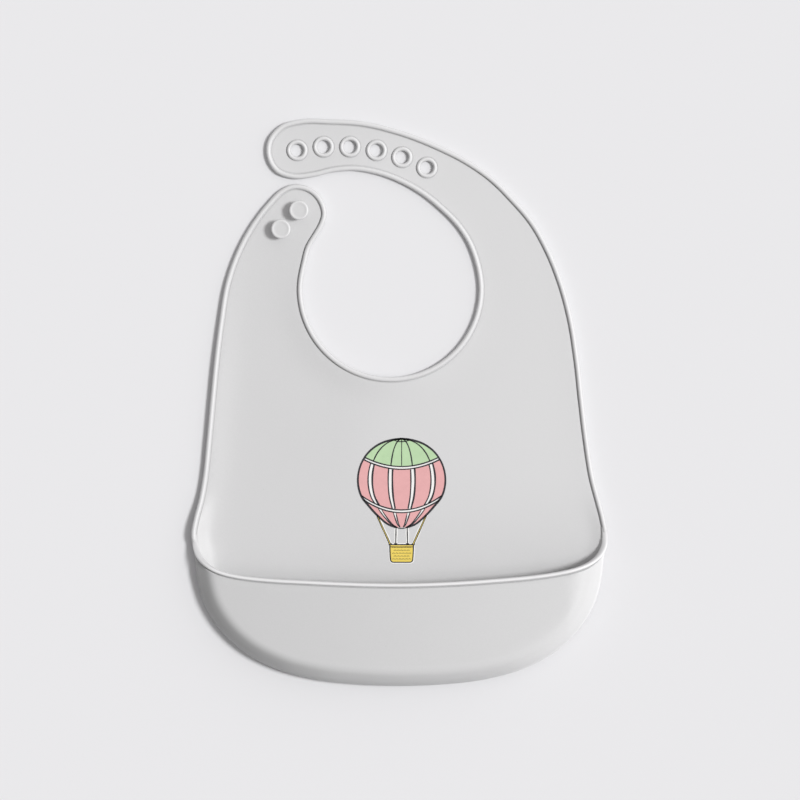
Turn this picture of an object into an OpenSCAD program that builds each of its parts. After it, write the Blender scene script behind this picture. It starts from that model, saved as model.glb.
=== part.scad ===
// Silicone bib with a catch-all pocket and a stud-and-hole neck strap.
// Millimetres. The bib lies flat: back face at z = 0, front face up (+Z),
// straps towards +Y, pocket towards -Y. Origin at the centre of the
// outline's length and width, on the back face.

/* [Overall size] */
// Overall width across the two corners of the pocket mouth
bib_w = 224.5; // [214:0.5:236]
// Overall length, pocket bottom to the top edge of the long strap
bib_l = 306; // [292:1:322]
// Thickness of the plain sheet
sheet_t = 1.4; // [1.1:0.1:1.8]

/* [Raised rim] */
// Width of the bead that runs round every edge
rim_w = 2.7; // [2:0.1:3.2]
// Height of the bead above the back face
rim_h = 3; // [2.4:0.1:3.4]

/* [Neck opening] */
// Diameter of the round part of the neck opening
neck_d = 95; // [93:0.5:96.5]

/* [Pocket] */
// Height of the pocket's front above the back face
pocket_h = 19; // [17:0.5:26]
// Thickness of the pocket's wall and front
pocket_t = 1.8; // [1.4:0.1:2.2]
// Height at which the pocket is widest
pocket_z0 = 3.4; // [3:0.1:5]
// Plan width of the rounded side and bottom wall
pocket_r = 17; // [15:0.5:19]
// Diameter of the bead along the pocket's mouth
lip_d = 2.6; // [2:0.1:3]

/* [Studs] */
// Diameter of a stud's head
stud_head_d = 10.4; // [9.4:0.1:11]
// Diameter of a stud's stem
stud_stem_d = 6; // [5:0.1:6.4]
// Height of a stud above the strap
stud_h = 6.3; // [4.6:0.1:6.5]

/* [Eyelets] */
// Outside diameter of the raised collar round a hole
eyelet_d = 11.2; // [11:0.1:12]
// Diameter of the hole
eyelet_hole_d = 6.8; // [6.4:0.1:7.4]
// Height of the collar above the back face
eyelet_h = 2.8; // [2.2:0.1:3.2]

/* [Fold zones] */
// Half width of the flexing strip across the chest
chest_web = 6.5; // [5:0.5:8]
// Half width of the flexing strips across the straps
strap_web = 2.5; // [1.5:0.1:3]
// Half width of the flexing strip between two collars
collar_web = 1.1; // [0.8:0.05:1.2]

/* [Picture] */
// Thickness of the printed ink film
ink_t = 0.15; // [0.1:0.05:0.3]
// Width of the picture's dark lines
ink_line = 0.7; // [0.5:0.1:1]

/* [Hidden] */

silicone = [0.86, 0.86, 0.87];
dark_ink = [0.24, 0.24, 0.27];
pink_ink = [0.94, 0.72, 0.72];
cream_ink = [0.98, 0.95, 0.88];
green_ink = [0.74, 0.86, 0.67];
yellow_ink = [0.95, 0.84, 0.36];

round_faces = 64;

// Plan points are given for a bib of 224.5 x 306 and stretch with its size.
x_scale = bib_w / 224.5;
y_scale = bib_l / 306;
function at(x, y) = [x * x_scale, y * y_scale];
function all_at(points) = [for (p = points) at(p[0], p[1])];

// ---------------------------------------------------------------- curves
// Tangent at b, per unit of chord, of a smooth curve through a, b and c.
function tangent(a, b, c) =
    let (ab = norm(b - a), bc = norm(c - b))
    ((b - a) / ab * bc + (c - b) / bc * ab) / (ab + bc);

// Points from b up to, but not including, c on a curve through a, b, c and d.
function span(a, b, c, d, steps) =
    let (chord = norm(c - b),
        start = tangent(a, b, c) * chord,
        end = tangent(b, c, d) * chord)
    [for (i = [0 : steps - 1])
        let (t = i / steps)
        b * (2 * t * t * t - 3 * t * t + 1) + start * (t * t * t - 2 * t * t + t)
        + c * (3 * t * t - 2 * t * t * t) + end * (t * t * t - t * t)];

// Smooth closed curve through every point.
function loop_curve(points, steps) =
    let (n = len(points))
    [for (k = [0 : n - 1]) each span(points[(k + n - 1) % n], points[k],
        points[(k + 1) % n], points[(k + 2) % n], steps)];

// Smooth open curve through every point.
function open_curve(points, steps) =
    let (last = len(points) - 1)
    [for (k = [0 : last - 1]) each span(
        k == 0 ? points[0] * 2 - points[1] : points[k - 1],
        points[k], points[k + 1],
        k == last - 1 ? points[last] * 2 - points[last - 1] : points[k + 2], steps),
     points[last]];

// Unit vector to the left of a direction of travel.
function left_normal(v) = [-v[1], v[0]] / norm(v);

// The same at point i of a closed list; it points inwards on the outline.
function left_of(points, i) =
    let (n = len(points))
    left_normal(points[(i + 1) % n] - points[(i + n - 1) % n]);

// Direction of travel at point i of an open list.
function travel(points, i) =
    points[min(i + 1, len(points) - 1)] - points[max(i - 1, 0)];

function inset(points, d) = [for (i = [0 : len(points) - 1])
    points[i] + left_of(points, i) * d];
function shift_left(points, d) = [for (i = [0 : len(points) - 1])
    points[i] + left_normal(travel(points, i)) * d];
function backwards(points) = [for (i = [len(points) - 1 : -1 : 0]) points[i]];

// --------------------------------------------------------------- outline
// The outline is one closed curve, run counter-clockwise. Tables are [x, y].
// Right half of the pocket, bottom centre to the corner of the mouth.
pocket_side = [[0, -153], [23, -152.2], [45.5, -149.6], [67, -143.7],
    [83, -135.3], [97.5, -121.6], [105.2, -108.5], [109, -94], [110.4, -82]];
// Right side of the panel up to the shoulder.
right_side = [[111.9, -76], [112.25, -70.5], [111.1, -63.5], [108.4, -53],
    [105.5, -42], [102, -20.5], [99.4, 1], [97, 22.7], [93.6, 44.3],
    [88.6, 63.2], [81.2, 82], [71.9, 98.3]];
// Outer edge of the long strap.
long_outer = [[62.4, 109.4], [50.5, 121.2], [38, 130], [21.9, 138.3],
    [0.3, 146.6], [-19.7, 151.4], [-38, 152.6]];
// Rounded tip of the long strap.
long_tip = [[-53, 152.6], [-64.5, 149.2], [-71.4, 140.5], [-71.4, 131],
    [-66.5, 123.6], [-58.5, 120.6]];
// Inner edge of the long strap, tip to the neck opening.
long_inner = [[-46, 121.5], [-36, 123.9], [-25.5, 124.8], [-12.3, 122.8],
    [0.3, 118.2], [11.1, 112.2], [21.9, 103.6], [30.6, 94.8],
    [36.2, 86.4]];
// Inner edge and rounded tip of the short strap.
short_tip = [[-48, 83], [-44.2, 89.5], [-41, 95], [-39.2, 101],
    [-40.6, 107.6], [-45, 113.6], [-51.5, 117], [-58.5, 117.3], [-65, 114]];
// Outer edge of the short strap and left side of the panel.
left_side = [[-70.5, 108.5], [-78.6, 98.2], [-87.7, 82], [-94.2, 63.2],
    [-97.3, 44.3], [-100, 22.7], [-102.1, 1], [-104.1, -20.5], [-106.4, -42],
    [-108.4, -53], [-111.1, -63.5], [-112.25, -70.5], [-111.9, -76]];

// Neck opening, from its right side round the bottom to its left side.
neck_centre = at(-4.8, 61);
neck_arc = [for (a = [18 : -18 : -198])
    neck_centre + neck_d / 2 * [cos(a) * x_scale, sin(a) * y_scale]];

outline = loop_curve(concat(
    all_at(pocket_side), all_at(right_side), all_at(long_outer),
    all_at(long_tip), all_at(long_inner), neck_arc,
    all_at(short_tip), all_at(left_side),
    [for (i = [len(pocket_side) - 1 : -1 : 1])
        at(-pocket_side[i][0], pocket_side[i][1])]), 5);
rim_inside = inset(outline, rim_w);

// ------------------------------------------------------------ fold lines
// Lower and upper edge of the flexing strip across the chest.
chest_y = -2 * y_scale;
chest_low = chest_y - chest_web;
chest_high = chest_y + chest_web;

// Each strap fold: a point on the strap's centre line, the direction of the
// line in degrees, away from the neck opening, and the strip's half width.
long_root_fold = [at(65.5, 62), 2, strap_web];
long_side_fold = [at(46.5, 100.5), 33, strap_web];
long_band_fold = [at(27, 120), 55, strap_web];
long_tip_fold = [at(-19.55, 136.75), 83, collar_web];
short_root_fold = [at(-73, 60), 178, strap_web];
short_tip_fold = [at(-68, 82.5), 155, strap_web];

// Point at a distance along a fold line and a distance to its left.
function on(fold, along, left) =
    let (a = fold[1])
    fold[0] + [cos(a), sin(a)] * along + [-sin(a), cos(a)] * left;
// The same, on the left or right edge of the fold's strip.
function left_edge(fold, along) = on(fold, along, fold[2]);
function right_edge(fold, along) = on(fold, along, -fold[2]);

// ---------------------------------------------------------------- ground
// A ground is a polygon that cuts one piece out of the whole outline.
side_x = 140;           // beyond either side of the bib
strap_side_x = -120;    // beyond the tips of both straps
strap_top_y = 190;      // beyond the top of the long strap
tip_gap_x = -35;        // right end of the gap between the strap tips
tip_gap_y = 119;        // level of that gap, before y_scale
// Reach along a fold line, towards the neck (negative) and away from it.
neck_reach = -27;
yoke_neck_reach = -30;
tip_neck_reach = -17;
strip_reach = 36;
piece_reach = 40;
far_reach = 60;
hairline = 0.001;

// Full width of the bib between two heights.
function across(low, high) =
    [[-side_x, low], [side_x, low], [side_x, high], [-side_x, high]];

// Ground of a flexing strip, a hair narrower than the gap it fills.
function strip(fold) =
    let (half = fold[2] - hairline)
    [on(fold, neck_reach, -half), on(fold, strip_reach, -half),
     on(fold, strip_reach, half), on(fold, neck_reach, half)];

// Ground on the left of fold line f and on the right of fold line g.
function between(f, g) = [
    left_edge(f, neck_reach), left_edge(f, piece_reach),
    (left_edge(f, far_reach) + right_edge(g, far_reach)) / 2,
    right_edge(g, piece_reach), right_edge(g, neck_reach)];

yoke_ground = [[-side_x, chest_high], [side_x, chest_high],
    right_edge(long_root_fold, far_reach), right_edge(long_root_fold, yoke_neck_reach),
    left_edge(short_root_fold, yoke_neck_reach), left_edge(short_root_fold, far_reach)];
long_tip_ground = [
    left_edge(long_tip_fold, tip_neck_reach), left_edge(long_tip_fold, piece_reach),
    [strap_side_x, strap_top_y], [strap_side_x, tip_gap_y * y_scale],
    [tip_gap_x, tip_gap_y * y_scale]];
short_tip_ground = [
    right_edge(short_tip_fold, piece_reach), [strap_side_x, tip_gap_y * y_scale],
    at(tip_gap_x, tip_gap_y), at(-28, 92), right_edge(short_tip_fold, neck_reach)];

module sheet2d(ground) intersection() {
    polygon(rim_inside);
    polygon(ground);
}
module rim2d(ground) intersection() {
    difference() {
        polygon(outline);
        polygon(rim_inside);
    }
    polygon(ground);
}

// A piece of sheet with the bead along its free edges, and room for eyelets.
module moulded(ground, holes = []) {
    linear_extrude(sheet_t) difference() {
        sheet2d(ground);
        for (h = holes) translate(h) circle(d = eyelet_d, $fn = round_faces);
    }
    linear_extrude(rim_h) rim2d(ground);
}

// ------------------------------------------------------------------ yoke
module chest_fold_web() color(silicone) moulded(across(chest_low, chest_high));
module neck_yoke() color(silicone) moulded(yoke_ground);

// ------------------------------------------------- long strap, with holes
tip_holes = all_at([[-55.2, 135.8], [-41, 137.7], [-26.7, 137.7]]);
band_holes = all_at([[-12.4, 135.8], [1.4, 132.1], [14.8, 126.5]]);

// Collar with bevelled top edges; profile points are [radius, z].
module eyelet() {
    hole_r = eyelet_hole_d / 2;
    collar_r = eyelet_d / 2;
    rotate_extrude($fn = round_faces) polygon([
        [hole_r, 0], [collar_r, 0], [collar_r, eyelet_h - 0.8],
        [collar_r - 0.5, eyelet_h - 0.2], [collar_r - 1.1, eyelet_h],
        [hole_r + 0.6, eyelet_h], [hole_r, eyelet_h - 0.6]]);
}

module long_strap_root_web() color(silicone) moulded(strip(long_root_fold));
module long_strap_shoulder() color(silicone)
    moulded(between(long_root_fold, long_side_fold));
module long_strap_side_web() color(silicone) moulded(strip(long_side_fold));
module long_strap_side() color(silicone)
    moulded(between(long_side_fold, long_band_fold));
module long_strap_band_web() color(silicone) moulded(strip(long_band_fold));
module long_strap_band() color(silicone)
    moulded(between(long_band_fold, long_tip_fold), band_holes);
module band_eyelets() color(silicone) for (h = band_holes) translate(h) eyelet();
module long_strap_tip_web() color(silicone) moulded(strip(long_tip_fold));
module long_strap_tip() color(silicone) moulded(long_tip_ground, tip_holes);
module tip_eyelets() color(silicone) for (h = tip_holes) translate(h) eyelet();

// ------------------------------------------------ short strap, with studs
upper_stud_at = at(-54.2, 103.2);
lower_stud_at = at(-63.9, 93.1);

// Flared foot, stem and round-edged head; profile points are [radius, z].
module stud() {
    stem_r = stud_stem_d / 2;
    head_r = stud_head_d / 2;
    edge_r = 1.1;
    translate([0, 0, sheet_t]) rotate_extrude($fn = round_faces) polygon(concat(
        [[0, 0], [stem_r + 0.7, 0], [stem_r + 0.15, 0.3], [stem_r, 0.8],
         [stem_r, stud_h - 2.7], [head_r - 0.6, stud_h - 2.4]],
        [for (a = [-50 : 25 : 75])
            [head_r - edge_r + edge_r * cos(a), stud_h - 1.2 + edge_r * sin(a)]],
        [[head_r - 1.4, stud_h], [0, stud_h]]));
}

module short_strap_root_web() color(silicone) moulded(strip(short_root_fold));
module short_strap_shoulder() color(silicone)
    moulded(between(short_tip_fold, short_root_fold));
module short_strap_tip_web() color(silicone) moulded(strip(short_tip_fold));
module short_strap_tip() color(silicone) moulded(short_tip_ground);
module upper_stud() color(silicone) translate(upper_stud_at) stud();
module lower_stud() color(silicone) translate(lower_stud_at) stud();

// ----------------------------------------------------------- front panel
foot = 4;   // distance from the outline in to the foot of the pocket's wall
mouth_y = -73 * y_scale;    // level of the mouth's corners

// Stations of the pocket's wall: indices of the outline points below the
// mouth's corners, from the right corner round the bottom to the left one.
outline_count = len(outline);
corner_index = max([for (i = [0 : floor(outline_count / 4)])
    outline[i][1] < mouth_y ? i : 0]);
stations = [for (i = [corner_index : -1 : -corner_index])
    (i + outline_count) % outline_count];

// Outline point of station k, moved inwards by d.
function inward(k, d) = outline[k] + left_of(outline, k) * d;

// The sheet runs under the pocket to the foot of the pocket's wall.
module front_panel() color(silicone) {
    linear_extrude(sheet_t) {
        sheet2d(across(mouth_y + 0.4, chest_low));
        polygon(concat([for (k = stations) inward(k, foot)],
            [at(-105, -72.4), at(105, -72.4)]));
    }
    linear_extrude(rim_h) rim2d(across(mouth_y + 0.6, chest_low));
}

// ---------------------------------------------------------------- pocket
// The wall rises from the sheet, bulges to the outline at pocket_z0 and
// curves in to the flat front. Near the mouth's corners it stops short.
// Columns: y before y_scale, angle round the curve at which the wall ends.
wall_ends = [[-94.5, 90], [-93, 79], [-91, 67], [-88, 49], [-84, 31],
    [-79, 17], [-73, 8]];
wall_steps = 10;
function wall_end(k) = lookup(outline[k][1] / y_scale, wall_ends);

// Points of a cross-section are [distance inwards from the outline, z].
function outer_at(a) = [pocket_r * (1 - cos(a)),
    pocket_z0 + (pocket_h - pocket_z0) * sin(a)];
function inner_at(a) = [pocket_t + (pocket_r - pocket_t) * (1 - cos(a)),
    pocket_z0 + (pocket_h - pocket_t - pocket_z0) * sin(a)];
function wall_section(end) = concat(
    [for (a = [0 : 30 : 60]) [foot * (1 - sin(a)), pocket_z0 * (1 - cos(a))]],
    [for (i = [0 : wall_steps]) outer_at(end * i / wall_steps)],
    [for (i = [wall_steps : -1 : 0]) inner_at(end * i / wall_steps)],
    [[foot, sheet_t]]);

// Point q of a cross-section, stood at station k square to the outline.
function placed(k, q) =
    let (p = inward(k, q[0]))
    [p[0], p[1], q[1]];
wall_rings = [for (k = stations)
    [for (q = wall_section(wall_end(k))) placed(k, q)]];

// Closed solid through a row of rings with the same number of points.
module skin(rings) {
    m = len(rings[0]);
    n = len(rings);
    polyhedron(points = [for (r = rings) each r], faces = concat(
        [for (i = [0 : n - 2], j = [0 : m - 1])
            [i * m + j, i * m + (j + 1) % m, (i + 1) * m + (j + 1) % m]],
        [for (i = [0 : n - 2], j = [0 : m - 1])
            [i * m + j, (i + 1) * m + (j + 1) % m, (i + 1) * m + j]],
        [[for (j = [m - 1 : -1 : 0]) j]],
        [[for (j = [0 : m - 1]) (n - 1) * m + j]]), convexity = 8);
}
module pocket_wall() color(silicone) skin(wall_rings);

// Upper edge of the front, right to left between the ends of the full wall.
mouth_edge = open_curve(all_at([[88, -95.6], [72, -97.2], [52, -98.6],
    [26, -99.8], [0, -100.2], [-26, -99.8], [-52, -98.6], [-72, -97.2],
    [-88, -95.6]]), 4);
front_edge = [for (k = stations) if (wall_end(k) > 89.9) inward(k, pocket_r)];
module pocket_front() color(silicone) translate([0, 0, pocket_h - pocket_t])
    linear_extrude(pocket_t) polygon(concat(front_edge, backwards(mouth_edge)));

// ------------------------------------------------------------------- lip
// The bead along the mouth follows the free edge of wall and front,
// its centre lip_gap beyond that edge.
lip_gap = lip_d / 2 + 0.12;

// Middle of the wall's free edge at station k, and the wall's outward normal.
function wall_top(k) =
    let (a = wall_end(k),
        inwards = left_of(outline, k),
        across_wall = [-(pocket_h - pocket_z0) * cos(a), pocket_r * sin(a)],
        v = across_wall / norm(across_wall))
    [placed(k, (outer_at(a) + inner_at(a)) / 2),
     [inwards[0] * v[0], inwards[1] * v[0], v[1]]];
// Free edge of the wall on the right (side = 1) or the left (side = -1).
function wall_run(side) = [for (k = stations)
    if (wall_end(k) < 88 && side * outline[k][0] > 0) wall_top(k)];

mouth_run = concat(wall_run(1),
    [for (p = mouth_edge) [[p[0], p[1], pocket_h - pocket_t / 2], [0, 0, 1]]],
    wall_run(-1));
mouth_points = [for (m = mouth_run) m[0]];

lip_rings = [for (i = [0 : len(mouth_run) - 1])
    let (step = travel(mouth_points, i),
        forward = step / norm(step),
        beyond_edge = cross(forward, mouth_run[i][1]),
        beyond = beyond_edge / norm(beyond_edge),
        up = cross(beyond, forward),
        centre = mouth_points[i] + beyond * lip_gap)
    [for (a = [0 : 36 : 324]) centre + (beyond * cos(a) + up * sin(a)) * lip_d / 2]];
module pocket_lip() color(silicone) skin(lip_rings);

// --------------------------------------------------------------- picture
// A plain hot-air balloon, printed on the chest: a cap, five gores with
// ribs between them, two bands, ropes and a woven basket.
picture_x = 1.2 * x_scale;
// Right half of the envelope, top to bottom, [x from the centre line, y].
envelope_half = open_curve(all_at([[0, -19.8], [4, -20.2], [12.4, -22.9],
    [18, -27.3], [21.4, -32.4], [23.3, -38.5], [23.4, -45], [21.6, -51],
    [17.6, -56.2], [12.4, -61.8], [6.5, -66.4], [3.2, -67.6]]), 3);
// Seam at a share of the envelope's half width, negative on the left.
function seam(share) = [for (p = envelope_half) [picture_x + share * p[0], p[1]]];
envelope = concat(seam(-1), backwards(seam(1)));
rib_shares = [-0.72, -0.26, 0.26, 0.72];
rib_half = 0.75;

// Curve across the envelope, its middle depth below its ends at height y.
function sag(y, depth) = [for (i = [-8 : 8])
    [picture_x + i * 3.2, y * y_scale - depth * (1 - i * i / 64)]];
function lowered(points, h) = [for (p = points) [p[0], p[1] - h]];
band_h = 1.3;
cap_edge = sag(-26.6, 8.2);
low_edge = sag(-47.4, 10.8);

basket_top = -77 * y_scale;
basket_bottom = -86.4 * y_scale;
basket_top_half = 6.4;
basket_bottom_half = 5.8;
weave_depths = [2.6, 5.2];
// Ropes: x from the centre line and y at the upper end, x at the basket.
ropes = [[13.6, -60.4, 6.1], [3, -67.4, 3.2]];

// Band along an open curve, half to either side of it.
function bar(points, half) =
    concat(shift_left(points, half), backwards(shift_left(points, -half)));

module basket2d(grow = 0) polygon([
    [picture_x - basket_top_half - grow, basket_top + grow],
    [picture_x - basket_bottom_half - grow, basket_bottom - grow],
    [picture_x + basket_bottom_half + grow, basket_bottom - grow],
    [picture_x + basket_top_half + grow, basket_top + grow]]);
module cap2d() polygon(concat(cap_edge, [at(40, -10), at(-40, -10)]));
module bands2d() for (e = [cap_edge, low_edge])
    polygon(concat(e, backwards(lowered(e, band_h))));
module seams2d(half) for (share = rib_shares) polygon(bar(seam(share), half));

// Dark edges of the bands, and seams on the cap.
module envelope_lines2d() intersection() {
    polygon(envelope);
    union() {
        for (e = [cap_edge, low_edge], h = [0, band_h])
            polygon(bar(lowered(e, h), ink_line * 0.35));
        intersection() {
            seams2d(ink_line * 0.4);
            cap2d();
        }
    }
}
// Dark outline and weave of the basket, and the ropes.
module basket_lines2d() {
    difference() {
        basket2d(ink_line / 2);
        basket2d(-ink_line / 2);
    }
    for (side = [-1, 1], r = ropes)
        polygon(bar([[picture_x + side * r[0], r[1] * y_scale],
            [picture_x + side * r[2], basket_top]], ink_line / 2));
    for (h = weave_depths)
        polygon(bar([[picture_x - basket_bottom_half, basket_top - h],
            [picture_x + basket_bottom_half, basket_top - h]], ink_line * 0.35));
}
module lines2d() {
    envelope_lines2d();
    basket_lines2d();
}

module ink() translate([0, 0, sheet_t]) linear_extrude(ink_t) children();
module print_outline() color(dark_ink) ink() lines2d();
module print_pink() color(pink_ink) ink() difference() {
    polygon(envelope);
    cap2d();
    bands2d();
    seams2d(rib_half);
    lines2d();
}
module print_cream() color(cream_ink) ink() difference() {
    intersection() {
        polygon(envelope);
        union() {
            bands2d();
            difference() {
                seams2d(rib_half);
                cap2d();
            }
        }
    }
    lines2d();
}
module print_green() color(green_ink) ink() difference() {
    intersection() {
        polygon(envelope);
        cap2d();
    }
    bands2d();
    lines2d();
}
module print_basket() color(yellow_ink) ink() difference() {
    basket2d();
    lines2d();
}

front_panel();
chest_fold_web();
neck_yoke();
pocket_wall();
pocket_lip();
pocket_front();
long_strap_root_web();
long_strap_shoulder();
long_strap_side_web();
long_strap_side();
long_strap_band_web();
long_strap_band();
band_eyelets();
long_strap_tip_web();
long_strap_tip();
tip_eyelets();
short_strap_root_web();
short_strap_shoulder();
short_strap_tip_web();
short_strap_tip();
upper_stud();
lower_stud();
print_outline();
print_pink();
print_cream();
print_green();
print_basket();
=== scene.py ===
"""A grey silicone bib lying face up on the floor, with a pocket and a printed balloon.

Seen from above, +X is right, +Y runs from the pocket to the neck straps and z = 0 is the
back face. The long strap starts at the right shoulder and carries a row of eyelets round
the neck; the short strap starts at the left shoulder and carries two studs. One soft sheet
with a bead along its edge makes panel, yoke and straps, and is cut into parts.
"""

import math

import bmesh
import bpy
import numpy as np
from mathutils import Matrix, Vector
from mathutils.geometry import delaunay_2d_cdt, tessellate_polygon


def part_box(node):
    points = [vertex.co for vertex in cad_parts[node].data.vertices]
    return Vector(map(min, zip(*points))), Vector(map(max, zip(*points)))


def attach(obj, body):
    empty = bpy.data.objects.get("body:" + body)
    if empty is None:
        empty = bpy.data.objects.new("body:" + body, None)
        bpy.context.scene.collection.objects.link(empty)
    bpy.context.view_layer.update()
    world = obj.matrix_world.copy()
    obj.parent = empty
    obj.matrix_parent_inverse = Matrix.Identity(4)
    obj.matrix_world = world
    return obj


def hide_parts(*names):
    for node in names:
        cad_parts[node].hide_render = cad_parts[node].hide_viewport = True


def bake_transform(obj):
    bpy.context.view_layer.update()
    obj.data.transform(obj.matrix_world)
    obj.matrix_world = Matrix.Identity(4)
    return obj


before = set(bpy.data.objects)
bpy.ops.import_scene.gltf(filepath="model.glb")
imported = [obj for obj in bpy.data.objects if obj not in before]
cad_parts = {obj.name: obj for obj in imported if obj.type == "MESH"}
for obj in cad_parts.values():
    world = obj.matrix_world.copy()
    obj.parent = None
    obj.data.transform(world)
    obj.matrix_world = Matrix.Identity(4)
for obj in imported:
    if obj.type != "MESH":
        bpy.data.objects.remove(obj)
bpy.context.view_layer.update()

# All lengths are millimetres unless said; meshes are scaled to metres when they are made.
MM = 0.001


def box_mm(piece):
    low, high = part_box(piece)
    return np.array(low) / MM, np.array(high) / MM


# ---------------------------------------------------------------- main sizes
DRAWN_WIDTH, DRAWN_LENGTH = 224.53, 305.98        # extent of the drawn outline
panel_low, panel_high = box_mm("front_panel")
stud_low, stud_high = box_mm("upper_stud")
# Every drawn point is multiplied by FIT, which matches the outline to the frame.
FIT = np.array([
    (panel_high[0] - panel_low[0]) / DRAWN_WIDTH,
    (box_mm("long_strap_tip")[1][1] - box_mm("pocket_wall")[0][1]) / DRAWN_LENGTH])
FIT_X, FIT_Y = FIT
SHEET_T = box_mm("print_outline")[0][2]
INK_T = box_mm("print_outline")[1][2] - SHEET_T
BEAD_H = box_mm("neck_yoke")[1][2]
BEAD_W = 2.7
EYELET_H = box_mm("band_eyelets")[1][2]
STUD_H = stud_high[2] - SHEET_T
STUD_R = (stud_high[0] - stud_low[0]) / 2
POCKET_H = box_mm("pocket_front")[1][2]           # pocket front above the back face
WALL_T = POCKET_H - box_mm("pocket_front")[0][2]
CAMERA = np.array([0.3, 1.1, 2000.0])
MESH_STEP = 1.25                # spacing of points along the edges


# ---------------------------------------------------------------- curves
def tangent(before, point, after):
    length_in, length_out = np.linalg.norm(point - before), np.linalg.norm(after - point)
    return (((point - before) / length_in * length_out
             + (after - point) / length_out * length_in) / (length_in + length_out))


def hermite_span(before, start, end, after, count):
    """Points of the curve from start up to, but not including, end."""
    length = np.linalg.norm(end - start)
    leave = tangent(before, start, end) * length
    arrive = tangent(start, end, after) * length
    points = []
    for i in range(count):
        t = i / count
        points.append(start * (2 * t**3 - 3 * t * t + 1) + leave * (t**3 - 2 * t * t + t)
                      + end * (3 * t * t - 2 * t**3) + arrive * (t**3 - t * t))
    return points


def loop_curve(points, count):
    points = [np.array(p, float) for p in points]
    total, curve = len(points), []
    for k in range(total):
        curve += hermite_span(points[k - 1], points[k], points[(k + 1) % total],
                              points[(k + 2) % total], count)
    return np.array(curve)


def open_curve(points, count):
    points = [np.array(p, float) for p in points]
    padded = [points[0] * 2 - points[1]] + points + [points[-1] * 2 - points[-2]]
    curve = []
    for k in range(len(points) - 1):
        curve += hermite_span(*padded[k:k + 4], count)
    return np.array(curve + [points[-1]])


def run_lengths(line):
    steps = np.linalg.norm(np.diff(line, axis=0), axis=1)
    return np.concatenate([[0], np.cumsum(steps)])


def resample(line, step, closed):
    if closed:
        line = np.vstack([line, line[:1]])
    run = run_lengths(line)
    count = max(4, int(round(run[-1] / step)))
    stops = np.linspace(0, run[-1], count + 1)
    even = np.stack([np.interp(stops, run, line[:, k]) for k in range(line.shape[1])], 1)
    return even[:-1] if closed else even


def ease(start, end, x):
    """0 at start rising smoothly to 1 at end; start may be the larger."""
    t = np.clip((np.asarray(x, float) - start) / (end - start), 0, 1)
    return t * t * (3 - 2 * t)


# ---------------------------------------------------------------- outline
# Points (x, y), counter-clockwise from the middle of the pocket's lower edge.
POCKET_SIDE = [
    [0, -153], [23, -152.2], [45.5, -149.6], [67, -143.7], [83, -135.3],
    [97.5, -121.6], [105.2, -108.5], [109, -94], [110.4, -82]]
RIGHT_SIDE = [
    [111.9, -76], [112.25, -70.5], [111.1, -63.5], [108.4, -53], [105.5, -42],
    [102, -20.5], [99.4, 1], [97, 22.7], [93.6, 44.3], [88.6, 63.2], [81.2, 82], [71.9, 98.3]]
LONG_STRAP_OUTER = [
    [62.4, 109.4], [50.5, 121.2], [38, 130], [21.9, 138.3], [0.3, 146.6],
    [-19.7, 151.4], [-38, 152.6]]
LONG_STRAP_TIP = [
    [-53, 152.6], [-64.5, 149.2], [-71.4, 140.5], [-71.4, 131], [-66.5, 123.6], [-58.5, 120.6]]
LONG_STRAP_INNER = [
    [-46, 121.5], [-36, 123.9], [-25.5, 124.8], [-12.3, 122.8], [0.3, 118.2],
    [11.1, 112.2], [21.9, 103.6], [30.6, 94.8], [36.2, 86.4]]
NECK_CENTRE, NECK_R = (-4.8, 61), 47.5
NECK_ARC = [
    [NECK_CENTRE[0] + NECK_R * math.cos(math.radians(a)),
     NECK_CENTRE[1] + NECK_R * math.sin(math.radians(a))] for a in range(18, -199, -18)]
SHORT_STRAP_TIP = [
    [-48, 83], [-44.2, 89.5], [-41, 95], [-39.2, 101], [-40.6, 107.6], [-45, 113.6],
    [-51.5, 117], [-58.5, 117.3], [-65, 114]]
LEFT_SIDE = [
    [-70.5, 108.5], [-78.6, 98.2], [-87.7, 82], [-94.2, 63.2], [-97.3, 44.3],
    [-100, 22.7], [-102.1, 1], [-104.1, -20.5], [-106.4, -42], [-108.4, -53],
    [-111.1, -63.5], [-112.25, -70.5], [-111.9, -76]]
drawn_outline = (
    POCKET_SIDE + RIGHT_SIDE + LONG_STRAP_OUTER + LONG_STRAP_TIP + LONG_STRAP_INNER + NECK_ARC
    + SHORT_STRAP_TIP + LEFT_SIDE + [[-x, y] for x, y in POCKET_SIDE[:0:-1]])


def inward_normals(loop):
    along = np.roll(loop, -1, 0) - np.roll(loop, 1, 0)
    along /= np.linalg.norm(along, axis=1)[:, None]
    return np.stack([-along[:, 1], along[:, 0]], 1)


outline_curve = loop_curve([np.array(p) * FIT for p in drawn_outline], 14)
EDGE = resample(outline_curve, MESH_STEP, True)   # stations of the sheet's mesh
EDGE_IN = inward_normals(EDGE)
DENSE = resample(outline_curve, 0.6, True)        # the same line, for measuring from
DENSE_IN = inward_normals(DENSE)


def near_outline(points):
    """Distance to the outline, and index of the nearest point of DENSE."""
    points = np.atleast_2d(points)
    distance, nearest = np.empty(len(points)), np.empty(len(points), int)
    for s in range(0, len(points), 1500):
        squares = ((points[s:s + 1500, None, :] - DENSE[None]) ** 2).sum(2)
        nearest[s:s + 1500] = squares.argmin(1)
        distance[s:s + 1500] = np.sqrt(squares.min(1))
    return distance, nearest


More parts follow.
